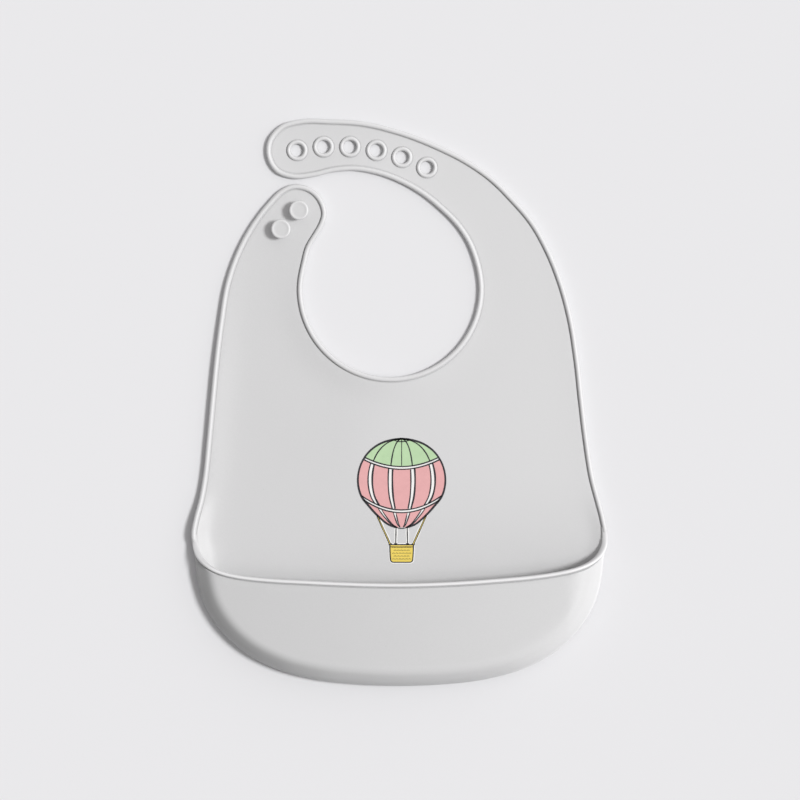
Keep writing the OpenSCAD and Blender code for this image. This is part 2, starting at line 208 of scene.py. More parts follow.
# The panel rises towards its side edges beside the pocket's corners, more on the left,
# and every free edge of the soft sheet stands a little off the floor.
RISE_SLOPE_LEFT, RISE_SLOPE_RIGHT = 0.46, 0.19
RISE_W = 8.8                                      # width of the rising strip
RISE_BLEND = 1.1                                  # softness of the bend where it starts
LEVEL_W = 3.3                                     # the bead rides level over this width
EDGE_UP, EDGE_FADE = 1.3, 10.0                    # lift of a free edge, and its reach inwards
CORNER_UP = 4.6                                   # the mouth's right corner is this much higher


def rise_share(y):
    y = np.asarray(y, float) / FIT_Y
    return ease(-44, -72, y) * (1 - ease(-90, -114, y))


def lift_at(points):
    """Height that the sheet is lifted off the floor."""
    x, y = points[:, 0], points[:, 1] / FIT_Y
    inset = np.maximum(near_outline(points)[0], LEVEL_W)
    ramp = RISE_BLEND * np.log1p(np.exp((RISE_W - np.minimum(inset, 60)) / RISE_BLEND))
    slope = np.where(x < 0, RISE_SLOPE_LEFT, RISE_SLOPE_RIGHT)
    # free edges lift above the pocket's foot, less towards the straps and the right
    free = (ease(-112, -84, y) * (0.15 + 0.85 * ease(85, 5, y))
            * (0.1 + 0.9 * ease(60, -20, x)))
    return (slope * rise_share(points[:, 1]) * ramp
            + EDGE_UP * np.exp(-(inset / EDGE_FADE) ** 2) * free)


def corner_y(points):
    """Height up the sheet, measured so that both corners of the mouth share the same numbers."""
    points = np.asarray(points, float)
    return points[..., 1] / FIT_Y - np.where(points[..., 0] > 0, CORNER_UP, 0.0)


# ---------------------------------------------------------------- filling flat regions
def inside(loop, points):
    x0, y0 = loop[:, 0], loop[:, 1]
    x1, y1 = np.roll(x0, -1), np.roll(y0, -1)
    result = np.zeros(len(points), bool)
    for s in range(0, len(points), 2000):
        x, y = points[s:s + 2000, 0, None], points[s:s + 2000, 1, None]
        spans = (y0[None] > y) != (y1[None] > y)
        with np.errstate(divide="ignore", invalid="ignore"):
            crossing = x0 + (y - y0) * (x1 - x0) / (y1 - y0)
        result[s:s + 2000] = (np.sum(spans & (x < crossing), 1) % 2) == 1
    return result


def clear_of(loops, points, gap):
    keep = np.ones(len(points), bool)
    rims = np.vstack(loops)
    for s in range(0, len(points), 1500):
        squares = ((points[s:s + 1500, None, :] - rims[None]) ** 2).sum(2).min(1)
        keep[s:s + 1500] = squares > gap * gap
    return keep


def hex_grid(low, high, pitch):
    rows = []
    for j, y in enumerate(np.arange(low[1], high[1], pitch * math.sqrt(3) / 2)):
        xs = np.arange(low[0] + (pitch / 2 if j % 2 else 0), high[0], pitch)
        rows.append(np.stack([xs, np.full(len(xs), y)], 1))
    return np.vstack(rows)


def fill(outer, holes, points):
    """Triangles inside outer and outside holes, through the points.

    Indices count outer, then the holes, then the points."""
    coords = np.vstack([outer] + list(holes) + [points])
    edges, base = [], 0
    for loop in [outer] + list(holes):
        count = len(loop)
        edges += [(base + i, base + (i + 1) % count) for i in range(count)]
        base += count
    _, _, faces, originals, _, _ = delaunay_2d_cdt(
        [Vector(c) for c in coords], edges, [], 0, 1e-7)
    triangles = np.array([[originals[i][0] for i in face] for face in faces])
    centres = coords[triangles].mean(1)
    keep = inside(outer, centres)
    for hole in holes:
        keep &= ~inside(hole, centres)
    triangles = triangles[keep]
    corners = coords[triangles]
    clockwise = np.cross(corners[:, 1] - corners[:, 0], corners[:, 2] - corners[:, 0]) < 0
    triangles[clockwise] = triangles[clockwise][:, ::-1]
    return triangles


def row_faces(first, second, size):
    """Quads between two rows of size vertices, given the index each row starts at."""
    return [(first + j, second + j, second + j + 1, first + j + 1) for j in range(size - 1)]


# ---------------------------------------------------------------- shader helpers
def set_inputs(tree, node, inputs):
    """Links each input given a socket, and sets the others."""
    for key, value in inputs.items():
        if isinstance(value, bpy.types.NodeSocket):
            tree.links.new(value, node.inputs[key])
        else:
            node.inputs[key].default_value = value


def add_node(tree, kind, inputs, **settings):
    node = tree.nodes.new(kind)
    for setting, value in settings.items():
        setattr(node, setting, value)
    set_inputs(tree, node, inputs)
    return node


def new_material(name):
    material = bpy.data.materials.new(name)
    material.use_nodes = True
    tree = material.node_tree
    tree.nodes.clear()
    output = tree.nodes.new("ShaderNodeOutputMaterial")
    shader = tree.nodes.new("ShaderNodeBsdfPrincipled")
    tree.links.new(shader.outputs[0], output.inputs[0])
    return material, tree, shader


def noise(tree, place, scale, detail, roughness=0.5):
    return add_node(tree, "ShaderNodeTexNoise", {
        "Vector": place, "Scale": scale, "Detail": detail, "Roughness": roughness}).outputs[0]


def maths(tree, operation, *values, clamp=False):
    return add_node(tree, "ShaderNodeMath", dict(enumerate(values)),
                    operation=operation, use_clamp=clamp).outputs[0]


def map_range(tree, value, from_min=0.0, from_max=1.0, to_min=0.0, to_max=1.0, kind="LINEAR"):
    return add_node(tree, "ShaderNodeMapRange", {
        "Value": value, "From Min": from_min, "From Max": from_max,
        "To Min": to_min, "To Max": to_max}, interpolation_type=kind).outputs[0]


def bump(tree, height, strength, distance):
    """Bump node; distance is in metres."""
    return add_node(tree, "ShaderNodeBump",
                    {"Height": height, "Strength": strength, "Distance": distance})


def mix_colour(tree, factor, first, second):
    first, second = ((*c, 1) if isinstance(c, tuple) else c for c in (first, second))
    return add_node(tree, "ShaderNodeMix", {0: factor, 6: first, 7: second},
                    data_type="RGBA").outputs[2]


def scaled(colour, gain):
    return tuple(min(1, part * gain) for part in colour)


# ---------------------------------------------------------------- materials
def dust_specks(tree, place):
    """1 on small round specks, in about a tenth of the cells; 0 elsewhere."""
    cells = add_node(tree, "ShaderNodeTexVoronoi",
                     {"Vector": place, "Scale": 150.0, "Randomness": 1.0})
    ramp = add_node(tree, "ShaderNodeValToRGB", {0: cells.outputs["Distance"]})
    middle, outside = ramp.color_ramp.elements
    middle.position, middle.color = 0.02, (1, 1, 1, 1)
    outside.position, outside.color = 0.045, (0, 0, 0, 1)
    channels = add_node(tree, "ShaderNodeSeparateColor", {0: cells.outputs["Color"]})
    chosen = maths(tree, "GREATER_THAN", channels.outputs[0], 0.90)
    return maths(tree, "MULTIPLY", ramp.outputs[0], chosen)


def silicone_material(name, base):
    """Matte moulded silicone: cloudy filler, fine grain, rare dust specks, a soft faint sheen,
    with painted highlights and painted shade.
    """
    material, tree, shader = new_material(name)
    place = tree.nodes.new("ShaderNodeTexCoord").outputs["Object"]
    cloud = noise(tree, place, scale=22.0, detail=4.0, roughness=0.55)
    fine = noise(tree, place, scale=1500.0, detail=3.0, roughness=0.6)
    medium = noise(tree, place, scale=420.0, detail=2.0, roughness=0.5)
    dust = dust_specks(tree, place)
    colour = mix_colour(tree, cloud, scaled(base, 0.975), scaled(base, 1.02))
    grain = map_range(tree, fine, from_min=0.3, from_max=0.7, to_max=0.5)
    colour = mix_colour(tree, grain, colour, scaled(base, 0.93))
    faint_dust = maths(tree, "MULTIPLY", dust, 0.35)
    colour = mix_colour(tree, faint_dust, colour, scaled(base, 0.62))

    # painted light: above the mouth the panel is painted paler towards +X and +Y, the sides the
    # light comes from; places in metres
    axes = add_node(tree, "ShaderNodeSeparateXYZ", {0: place})
    above = map_range(tree, axes.outputs[1], from_min=-0.085, from_max=-0.030,
                      kind="SMOOTHSTEP")
    painted_light_ramps = ((0, -0.038, 0.002, 0.36), (0, 0.01, 0.09, 0.26), (1, 0.06, 0.14, 0.24))
    for axis, start, end, gain in painted_light_ramps:
        painted_light_ramp = map_range(tree, axes.outputs[axis], from_min=start, from_max=end,
                          to_max=gain, kind="SMOOTHSTEP")
        share = maths(tree, "MULTIPLY", painted_light_ramp, above)
        colour = mix_colour(tree, share, colour, scaled(base, 1.10))

    # the painted light attribute: above 0 a painted highlight, paler, on thin rounded edges;
    # below 0 painted shade, darker, in grooves and other shaded places
    rim = tree.nodes.new("ShaderNodeAttribute")
    rim.attribute_name = "rim"
    crest = add_node(tree, "ShaderNodeClamp", {0: rim.outputs["Fac"]}).outputs[0]
    for gain, tint in ((0.32, (0.86, 0.86, 0.865)), (-0.34, (0.30, 0.305, 0.30))):
        share = maths(tree, "MULTIPLY", rim.outputs["Fac"], gain, clamp=True)
        colour = mix_colour(tree, share, colour, tint)

    # crests are a little glossier
    roughness = map_range(tree, medium, to_min=0.42, to_max=0.56)
    roughness = maths(tree, "MULTIPLY_ADD", crest, -0.13, roughness)
    fine_bump = bump(tree, fine, strength=0.20, distance=0.00006)
    medium_bump = bump(tree, medium, strength=0.12, distance=0.0002)
    tree.links.new(medium_bump.outputs[0], fine_bump.inputs["Normal"])
    set_inputs(tree, shader, {
        "Base Color": colour, "Roughness": roughness, "Normal": fine_bump.outputs[0],
        "IOR": 1.42, "Sheen Weight": 0.06, "Sheen Roughness": 0.5})
    return material


def ink_material(name, base, roughness=0.42):
    """Screen-printed silicone ink: slight mottle and a soft gloss."""
    material, tree, shader = new_material(name)
    place = tree.nodes.new("ShaderNodeTexCoord").outputs["Object"]
    mottle = noise(tree, place, scale=260.0, detail=5.0, roughness=0.65)
    fine = noise(tree, place, scale=1800.0, detail=2.0)
    set_inputs(tree, shader, {
        "Base Color": mix_colour(tree, mottle, scaled(base, 0.90), scaled(base, 1.06)),
        "Roughness": map_range(tree, mottle, to_min=roughness - 0.06, to_max=roughness + 0.12),
        "Normal": bump(tree, fine, strength=0.25, distance=0.00005).outputs[0]})
    return material


def floor_material():
    material, tree, shader = new_material("floor_pale")
    set_inputs(tree, shader, {
        "Base Color": (0.800, 0.800, 0.815, 1), "Roughness": 0.9, "Specular IOR Level": 0.0})
    return material


SILICONE = silicone_material("silicone_light_grey", base=(0.655, 0.655, 0.660))


# ---------------------------------------------------------------- making mesh objects
def link_object(name, data):
    made = bpy.data.objects.new(name, data)
    bpy.context.scene.collection.objects.link(made)
    return made


def make_object(name, verts, faces, material, smooth=True, rim=None):
    mesh = bpy.data.meshes.new(name)
    mesh.from_pydata([tuple(v) for v in np.asarray(verts, float) * MM], [], faces)
    # per vertex painted light: above 0 a painted highlight, below 0 painted shade
    if rim is not None:
        painted_light_values = mesh.attributes.new("rim", "FLOAT", "POINT")
        painted_light_values.data.foreach_set("value", np.asarray(rim, np.float32))
    mesh.validate()
    bm = bmesh.new()
    bm.from_mesh(mesh)
    bmesh.ops.recalc_face_normals(bm, faces=bm.faces)
    bm.to_mesh(mesh)
    bm.free()
    made = link_object(name, mesh)
    mesh.materials.append(material)
    for face in mesh.polygons:
        face.use_smooth = smooth
    return made


# ---------------------------------------------------------------- the sheet's sections
# Rows: distance inwards from the outline, height. Both run from the top face over the
# edge to the bottom face.
BEAD_SECTION = np.array([
    [BEAD_W + 0.85, SHEET_T], [BEAD_W + 0.52, SHEET_T - 0.06],
    [BEAD_W + 0.28, SHEET_T - 0.28], [BEAD_W + 0.08, SHEET_T - 0.34],
    [BEAD_W - 0.04, SHEET_T - 0.12], [BEAD_W - 0.10, SHEET_T + 0.35],
    [BEAD_W - 0.18, SHEET_T + 0.80], [BEAD_W - 0.38, BEAD_H - 0.36],
    [BEAD_W - 0.74, BEAD_H - 0.12], [BEAD_W - 1.08, BEAD_H - 0.02],
    [1.28, BEAD_H], [0.92, BEAD_H - 0.07], [0.56, BEAD_H - 0.26], [0.26, BEAD_H - 0.62],
    [0.07, BEAD_H - 1.10], [0.0, 1.35], [0.06, 0.80], [0.22, 0.36], [0.50, 0.09], [0.95, 0.0]])
PLAIN_SECTION = np.array([
    [3.4, SHEET_T], [2.8, SHEET_T], [2.2, SHEET_T], [1.7, SHEET_T], [1.2, SHEET_T],
    [0.9, SHEET_T], [0.7, SHEET_T], [0.5, SHEET_T - 0.04], [0.35, SHEET_T - 0.1],
    [0.22, SHEET_T - 0.2], [0.12, SHEET_T - 0.33], [0.05, SHEET_T - 0.46],
    [0.0, SHEET_T - 0.6], [0.0, 0.62], [0.05, 0.45], [0.12, 0.3], [0.22, 0.18],
    [0.35, 0.08], [0.6, 0.02], [0.95, 0.0]])
# Painted light on each row of the bead: a painted highlight over the crest, painted shade in the
# groove beside it and on its low outer side and underside.
BEAD_PAINTED_LIGHT = np.array([
    0, -0.3, -0.8, -0.8, -0.5, 0.2, 0.6, 0.8, 0.8, 0.8,
    0.8, 0.8, 0.7, 0.4, 0, -0.7, -1.2, -1.4, -1.4, -1.4])
GROOVE_ROWS = slice(1, 5)

# Eyelet collar, rows: radius, height, from the top face through the hole to the bottom face.
COLLAR_SECTION = np.array([
    [6.30, SHEET_T], [6.02, SHEET_T - 0.04], [5.82, SHEET_T - 0.20], [5.68, SHEET_T - 0.24],
    [5.62, SHEET_T - 0.06], [5.58, SHEET_T + 0.35], [5.48, SHEET_T + 0.75],
    [5.22, EYELET_H - 0.30], [4.88, EYELET_H - 0.06], [4.52, EYELET_H],
    [4.18, EYELET_H - 0.10], [3.84, EYELET_H - 0.34], [3.56, EYELET_H - 0.72],
    [3.42, EYELET_H - 1.25], [3.40, 1.0], [3.44, 0.50], [3.58, 0.16], [3.90, 0.0]])
# Painted light on each row of the collar: a painted highlight over the crest, painted shade in
# the groove round it and down inside the hole.
COLLAR_PAINTED_LIGHT = np.array([
    0, -0.4, -1, -1, -0.6, 0.2, 0.7, 1, 1, 1, 1, 0.8, 0.3, -0.8, -1.5, -1.5, -1.5, -1.5])
COLLAR_SIDES = 56
collar_angles = np.arange(COLLAR_SIDES) * 2 * math.pi / COLLAR_SIDES
CIRCLE = np.stack([np.cos(collar_angles), np.sin(collar_angles)], 1)
EYELETS = [np.array(p) * FIT for p in (
    [-55.2, 135.8], [-41, 137.7], [-26.7, 137.7], [-12.4, 135.8], [1.4, 132.1], [14.8, 126.5])]

# Below the mouth's corners the bead gives way to the plain section, set in under the pocket.
UNDER_POCKET = (1 - ease(-79, -73.2, corner_y(EDGE)))[:, None]
plain_inset = (4.6 - 3.4 * rise_share(EDGE[:, 1]))[:, None]
EDGE_INSET = ((1 - UNDER_POCKET) * BEAD_SECTION[:, 0]
              + UNDER_POCKET * (PLAIN_SECTION[:, 0] + plain_inset))
EDGE_Z = (1 - UNDER_POCKET) * BEAD_SECTION[:, 1] + UNDER_POCKET * PLAIN_SECTION[:, 1]
EDGE_ROWS = EDGE[:, None, :] + EDGE_IN[:, None, :] * EDGE_INSET[:, :, None]

WIDE_PITCH, FINE_PITCH = ((2.8, 1.7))

# Painted shade: how much darker the panel is painted just above the mouth, where the pocket's lip
# shades it.
MOUTH_SHADE_LINE = (                              # x and y of the line it is measured from
    [-104, -94, -81, -54, 0, 50, 90, 98, 104],
    [-88, -93, -95.4, -97.3, -99, -96.7, -91.8, -89.7, -86.5])
MOUTH_SHADE = ([-98, -76, 0, 86, 97, 104], [0, 0.25, 0.47, 0.55, 0.3, 0])   # x, strength


def face_points(loops):
    """Grid over the sheet, finer at the chest fold, the yoke and straps, and the corners."""
    def in_fine_zone(points):
        y = points[:, 1] / FIT_Y
        corners = (np.abs(points[:, 0]) > 92) & (y < -40) & (y > -116)
        return (np.abs(y + 2) < 20) | (y > 36) | corners

    low, high = EDGE.min(0), EDGE.max(0)
    wide, fine = hex_grid(low, high, WIDE_PITCH), hex_grid(low, high, FINE_PITCH)
    points = np.vstack([wide[~in_fine_zone(wide)], fine[in_fine_zone(fine)]])
    points = points[inside(loops[0], points)]
    for hole in loops[1:]:
        points = points[~inside(hole, points)]
    return points[clear_of(loops, points, FINE_PITCH * 0.62)]


def sheet_painted_light(verts, collar_starts, face_start):
    # painted highlight and painted shade for every vertex of the sheet
    rim = np.zeros(len(verts))
    # painted shade: the groove is painted darker where the sheet lies left of its bead, in the
    # bead's shade from the light, and less dark where the sheet lies right of it
    side = 1 + np.clip(-EDGE_IN[:, 0], 0, 1) - 0.4 * np.clip(EDGE_IN[:, 0], 0, 1)
    painted_light_value = np.repeat(BEAD_PAINTED_LIGHT[None, :], len(EDGE), 0)
    painted_light_value[:, GROOVE_ROWS] *= side[:, None]
    rim[:painted_light_value.size] = ((1 - UNDER_POCKET) * painted_light_value).ravel()
    collar = np.repeat(COLLAR_PAINTED_LIGHT, COLLAR_SIDES)
    for start in collar_starts:
        rim[start:start + len(collar)] = collar
    # painted shadow of the pocket's lip on the panel just above the mouth
    x, y = verts[face_start:, 0] / FIT_X, verts[face_start:, 1] / FIT_Y
    gap = y - np.interp(x, *MOUTH_SHADE_LINE)
    rim[face_start:] = -np.interp(x, *MOUTH_SHADE) * (1 - ease(2.0, 9.5, gap))
    return rim


def build_sheet():
    """Vertices, faces and the painted highlight and shade of the whole sheet."""
    stations, rows = EDGE_Z.shape
    verts = [(*EDGE_ROWS[i, j], EDGE_Z[i, j]) for i in range(stations) for j in range(rows)]
    faces = []
    for i in range(stations):
        faces += row_faces(i * rows, (i + 1) % stations * rows, rows)

    collar_starts = []
    for centre in EYELETS:
        base = len(verts)
        collar_starts.append(base)
        for radius, z in COLLAR_SECTION:
            verts += [(centre[0] + radius * c[0], centre[1] + radius * c[1], z) for c in CIRCLE]
        for j in range(len(COLLAR_SECTION) - 1):
            upper, lower = base + j * COLLAR_SIDES, base + (j + 1) * COLLAR_SIDES
            for k in range(COLLAR_SIDES):
                n = (k + 1) % COLLAR_SIDES
                faces.append((upper + k, lower + k, lower + n, upper + n))
    face_start = len(verts)

    for row, collar_row, z in ((0, 0, SHEET_T), (rows - 1, len(COLLAR_SECTION) - 1, 0.0)):
        outer = EDGE_ROWS[:, row, :]
        rims = [centre + COLLAR_SECTION[collar_row, 0] * CIRCLE for centre in EYELETS]
        points = face_points([outer] + rims)
        index = [i * rows + row for i in range(stations)]
        for start in collar_starts:
            index += [start + collar_row * COLLAR_SIDES + k for k in range(COLLAR_SIDES)]
        index += range(len(verts), len(verts) + len(points))
        verts += [(x, y, z) for x, y in points]
        for triangle in fill(outer, rims, points):
            face = tuple(index[i] for i in triangle)
            faces.append(face if row == 0 else face[::-1])
    verts = np.array(verts)
    verts[:, 2] += lift_at(verts[:, :2])
    return verts, faces, sheet_painted_light(verts, collar_starts, face_start)


# ---------------------------------------------------------------- cutting the sheet
# A point on the cut, the direction of the line in degrees, its half length.
CUTS = [
    ((0, -26), 0, 140),                           # panel from chest
    ((66, 38), 0, 34), ((-74, 38), 180, 34),      # right and left of the yoke
    ((57.5, 81.5), 17, 34), ((37.6, 110.9), 44, 30), ((8.1, 129.3), 68, 26),  # long strap
    ((-71, 71.2), 167, 27)]                       # short strap
CUT_REACH = 6                                     # faces this near the line are cut
# Part: a point on it, and the frame's pieces it stands for.
SHEET_PARTS = {
    "sheet_panel": ((0, -60), ("front_panel",)),
    "sheet_chest": ((40, -5), ("chest_fold_web", "neck_yoke")),
    "sheet_long_root": ((67, 60), ("long_strap_root_web", "long_strap_shoulder")),
    "sheet_long_side": ((47, 98), ("long_strap_side_web", "long_strap_side")),
    "sheet_long_band": ((25, 118), ("long_strap_band_web", "long_strap_band", "band_eyelets")),
    "sheet_long_tip": ((-48, 145), ("long_strap_tip_web", "long_strap_tip", "tip_eyelets")),
    "sheet_short_root": ((-75, 58), ("short_strap_root_web", "short_strap_shoulder")),
    "sheet_short_tip": ((-60, 86), ("short_strap_tip_web", "short_strap_tip"))}


def median_mm(face):
    centre = face.calc_center_median()
    return np.array([centre.x, centre.y]) / MM


def place_key(place):
    return round(place.x, 7), round(place.y, 7), round(place.z, 7)


def cut_across(bm):
    """Bisects the sheet along every cut and returns the new edges."""
    cut_edges = set()
    for point, degrees, half_length in CUTS:
        point = np.array(point) * FIT
        along = np.array([math.cos(math.radians(degrees)), math.sin(math.radians(degrees))])
        across = np.array([-along[1], along[0]])
        near = []
        for face in bm.faces:
            offset = median_mm(face) - point
            if abs(offset @ along) < half_length and abs(offset @ across) < CUT_REACH:
                near.append(face)
        geometry = set(near)
        for face in near:
            geometry.update(face.edges)
            geometry.update(face.verts)
        result = bmesh.ops.bisect_plane(
            bm, geom=list(geometry), dist=1e-8,
            plane_co=Vector((*point, 0)) * MM, plane_no=Vector((*across, 0)))
        cut_edges.update(e for e in result["geom_cut"] if isinstance(e, bmesh.types.BMEdge))
    return cut_edges


def connected_groups(bm):
    seen, groups = set(), []
    for first in bm.faces:
        if first.index in seen:
            continue
        seen.add(first.index)
        stack, members = [first], []
        while stack:
            face = stack.pop()
            members.append(face)
            for edge in face.edges:
                for other in edge.link_faces:
                    if other.index not in seen:
                        seen.add(other.index)
                        stack.append(other)
        groups.append(members)
    return groups


def close_cut_ends(bm):
    neighbours = {}
    for edge in [e for e in bm.edges if len(e.link_faces) == 1]:
        edge.smooth = False
        start, end = edge.verts
        neighbours.setdefault(start, []).append(end)
        neighbours.setdefault(end, []).append(start)
    used = set()
    for start in neighbours:
        if start in used:
            continue
        used.add(start)
        loop = [start]
        while True:
            following = [v for v in neighbours[loop[-1]] if v not in used]
            if not following:
                break
            used.add(following[0])
            loop.append(following[0])
        if len(loop) < 3:
            continue
        for triangle in tessellate_polygon([[v.co for v in loop]]):
            try:
                bm.faces.new([loop[i] for i in triangle]).smooth = True
            except ValueError:
                # a triangle that repeats a vertex or a face is skipped
                pass


def make_part(name, members, source_rim, normals):
    """One part of the sheet, shaded across its cuts with the whole sheet's normals."""
    bm = bmesh.new()
    rim_layer = bm.verts.layers.float.new("rim")
    copies = {}
    for face in members:
        corners = []
        for vert in face.verts:
            if vert not in copies:
                copies[vert] = bm.verts.new(vert.co)
                copies[vert][rim_layer] = vert[source_rim]
            corners.append(copies[vert])
        bm.faces.new(corners).smooth = True
    bm.normal_update()
    shell_count = len(bm.faces)
    close_cut_ends(bm)
    bmesh.ops.recalc_face_normals(bm, faces=bm.faces)
    mesh = bpy.data.meshes.new(name)
    bm.to_mesh(mesh)
    bm.free()
    mesh.update()
    custom = []
    for face in mesh.polygons:
        for corner in face.loop_indices:
            normal = None
            if face.index < shell_count:
                vert = mesh.vertices[mesh.loops[corner].vertex_index]
                normal = normals.get(place_key(vert.co))
            custom.append(tuple(face.normal if normal is None else normal))
    mesh.normals_split_custom_set(custom)
    part = link_object(name, mesh)
    mesh.materials.append(SILICONE)
    return part


def split_sheet(verts, faces, rim):
    bm = bmesh.new()
    rim_layer = bm.verts.layers.float.new("rim")
    made = [bm.verts.new(Vector(v) * MM) for v in verts]
    for vert, painted_light_value in zip(made, rim):
        vert[rim_layer] = painted_light_value
    for face in faces:
        bm.faces.new([made[i] for i in face])
    bmesh.ops.recalc_face_normals(bm, faces=bm.faces)
    cut_edges = cut_across(bm)
    bm.normal_update()
    normals = {place_key(v.co): v.normal.copy() for v in bm.verts}
    bmesh.ops.split_edges(bm, edges=list(cut_edges))
    bm.faces.ensure_lookup_table()
    groups = [(np.array([median_mm(f) for f in group]), group)
              for group in connected_groups(bm)]
    parts = {}
    for name, (seed, _) in SHEET_PARTS.items():
        seed = np.array(seed) * FIT
        nearest = min(groups, key=lambda group: ((group[0] - seed) ** 2).sum(1).min())
        parts[name] = make_part(name, nearest[1], rim_layer, normals)
    bm.free()
    return parts


sheet = split_sheet(*build_sheet())

# ---------------------------------------------------------------- pocket shape
QUARTER = math.pi / 2
WALL_IN_MAX = 12.6                                # the wall curves inwards by this much
WIDEST_Z = 3.4                                    # height at which the wall is widest
CORNER_WIDEST_Z = 1.2                             # the same at the mouth's corners
FOOT_IN = 4.0                                     # the foot tucks in below the widest line
FRONT_BOW_LEFT, FRONT_BOW_RIGHT = 5.0, 5.5        # fall of the front 100 from the middle

# Shape of the side wall, rows: distance in from the outline, share of the height.
NOMINAL_RISE = 15.0                               # height at which the curve is drawn
wall = open_curve(np.array([
    [0, 0], [0.18, 0.10], [0.75, 0.245], [2.35, 0.515], [4.5, 0.762],
    [7.1, 0.935], [9.9, 0.992], [WALL_IN_MAX, 1.0]]) * [1, NOMINAL_RISE], 30)
wall[:, 1] /= NOMINAL_RISE
wall = np.maximum.accumulate(np.clip(wall, 0, [WALL_IN_MAX, 1.0]), 0)
wall_run = run_lengths(wall * [1, NOMINAL_RISE])
# A turn runs from 0 where the wall is widest to a quarter turn where it meets the front.
WALL_TURN = np.linspace(0, QUARTER, 400)
WALL_IN = np.interp(WALL_TURN * wall_run[-1] / QUARTER, wall_run, wall[:, 0])
WALL_UP = np.interp(WALL_TURN * wall_run[-1] / QUARTER, wall_run, wall[:, 1])


def front_bow(x):
    return np.where(x < 0, FRONT_BOW_LEFT, FRONT_BOW_RIGHT)


def front_z(x):
    """Height of the front: it bows up towards the middle and eases down at the right corner."""
    x = np.asarray(x, float)
    return POCKET_H - front_bow(x) * (x / 100.0) ** 2 - 3.2 * ease(90, 114, x)


def wall_inset(foot):
    """How far the wall stands in from the outline beside the mouth's corners."""
    return float(1.45 * (1 - ease(-76, -86, corner_y(foot))))


def widest_z(foot):
    """Height at which the wall is widest; it sinks to the edge bead at the mouth's corners."""
    return (CORNER_WIDEST_Z
            + (WIDEST_Z - CORNER_WIDEST_Z) * float(ease(-74, -88, corner_y(foot))))


def wall_point(foot, inward, inset, turn):
    depth, z = inset + float(np.interp(turn, WALL_TURN, WALL_IN)), widest_z(foot)
    x = foot[0] + inward[0] * depth
    share = float(np.interp(turn, WALL_TURN, WALL_UP))
    return np.array([x, foot[1] + inward[1] * depth, z + (front_z(x) - z) * share])


# ---------------------------------------------------------------- the mouth's crest
# Crest of the mouth's bead as the camera sees it, left corner to right corner.
MOUTH = np.array([
    [-112.2, -71.5], [-111.9, -74.6], [-110.5, -79.0], [-107.8, -84.6], [-104.1, -88.3],
    [-99.8, -90.9], [-94.4, -92.9], [-87.9, -94.4], [-80.7, -95.4], [-69.9, -96.4],
    [-53.7, -97.3], [-37.5, -98.1], [-18.0, -98.8], [0.3, -99.0], [18.0, -98.6],
    [33.0, -97.9], [50.0, -96.7], [70.5, -94.9], [81.3, -93.5], [90.5, -91.8],
    [97.8, -89.7], [104.2, -86.5], [108.2, -83.1], [110.3, -79.4], [111.5, -74.6],
    [112.0, -70.2], [112.05, -67.0]]) * FIT
# Distance from the middle, and height of the crest there.
MOUTH_HEIGHTS = ([0, 60, 90, 98, 104, 108, 112], [19, 17.5, 15, 12.5, 9.5, 6, 3.2])
# seen from the camera, a raised edge looks further out than it is
mouth_z = np.interp(np.abs(MOUTH[:, 0]), *MOUTH_HEIGHTS)
mouth = CAMERA[:2] + (MOUTH - CAMERA[:2]) * (1 - mouth_z / CAMERA[2])[:, None]
mouth = resample(open_curve(mouth, 12), MESH_STEP, False)


def crest_frame(point, distance, nearest):
    """Place on the surface, the normal there, the direction up the wall, and the turn."""
    foot, inward = DENSE[nearest], DENSE_IN[nearest]
    inset = wall_inset(foot)
    if not inside(DENSE, point[None])[0]:
        distance = 0.0
    if distance - inset >= WALL_IN_MAX:
        x = point[0]
        turn, centre = QUARTER, np.array([x, point[1], front_z(x)])
        run, rise = 1.0, -(2 * front_bow(x) / 100) * x / 100 * inward[0]
    else:
        depth = max(distance - inset, 0.0)
        turn = max(float(np.interp(depth, WALL_IN, WALL_TURN)), 0.10 if foot[0] < 0 else 0.075)
        centre = wall_point(foot, inward, inset, turn)
        step = (wall_point(foot, inward, inset, min(turn + 0.03, QUARTER))
                - wall_point(foot, inward, inset, max(turn - 0.03, 0)))
        run, rise = math.hypot(*step[:2]), step[2]
    length = math.hypot(run, rise)
    normal = np.array([-inward[0] * rise, -inward[1] * rise, run]) / length
    upward = np.array([inward[0] * run, inward[1] * run, rise]) / length
    return centre, normal, upward, turn


def soften(rows, times):
    for _ in range(times):
        rows[1:-1] = (rows[:-2] + 2 * rows[1:-1] + rows[2:]) / 4
    return rows


crest, crest_normal, crest_up, crest_turn = (
    np.array(column) for column in zip(
        *(crest_frame(*row) for row in zip(mouth, *near_outline(mouth)))))
crest = soften(crest, 6)
crest_normal = soften(crest_normal, 6)
crest_along = np.gradient(crest, axis=0)
crest_along /= np.linalg.norm(crest_along, axis=1)[:, None]
crest_normal -= (crest_normal * crest_along).sum(1)[:, None] * crest_along
crest_normal /= np.linalg.norm(crest_normal, axis=1)[:, None]
# In the surface, square to the mouth, pointing away from its free edge.
crest_back = np.cross(crest_along, crest_normal)
on_front = crest_turn > 1.5
towards_edge = np.where(on_front[:, None], np.array([0, 1.0, 0]), crest_up)
side = np.sign((crest_back * towards_edge).sum(1))
crest_back *= -np.where(side == 0, 1, side)[:, None]

CREST_TO_SURFACE = 2.0                            # crest to where the bead starts
bead_start = crest + crest_back * CREST_TO_SURFACE


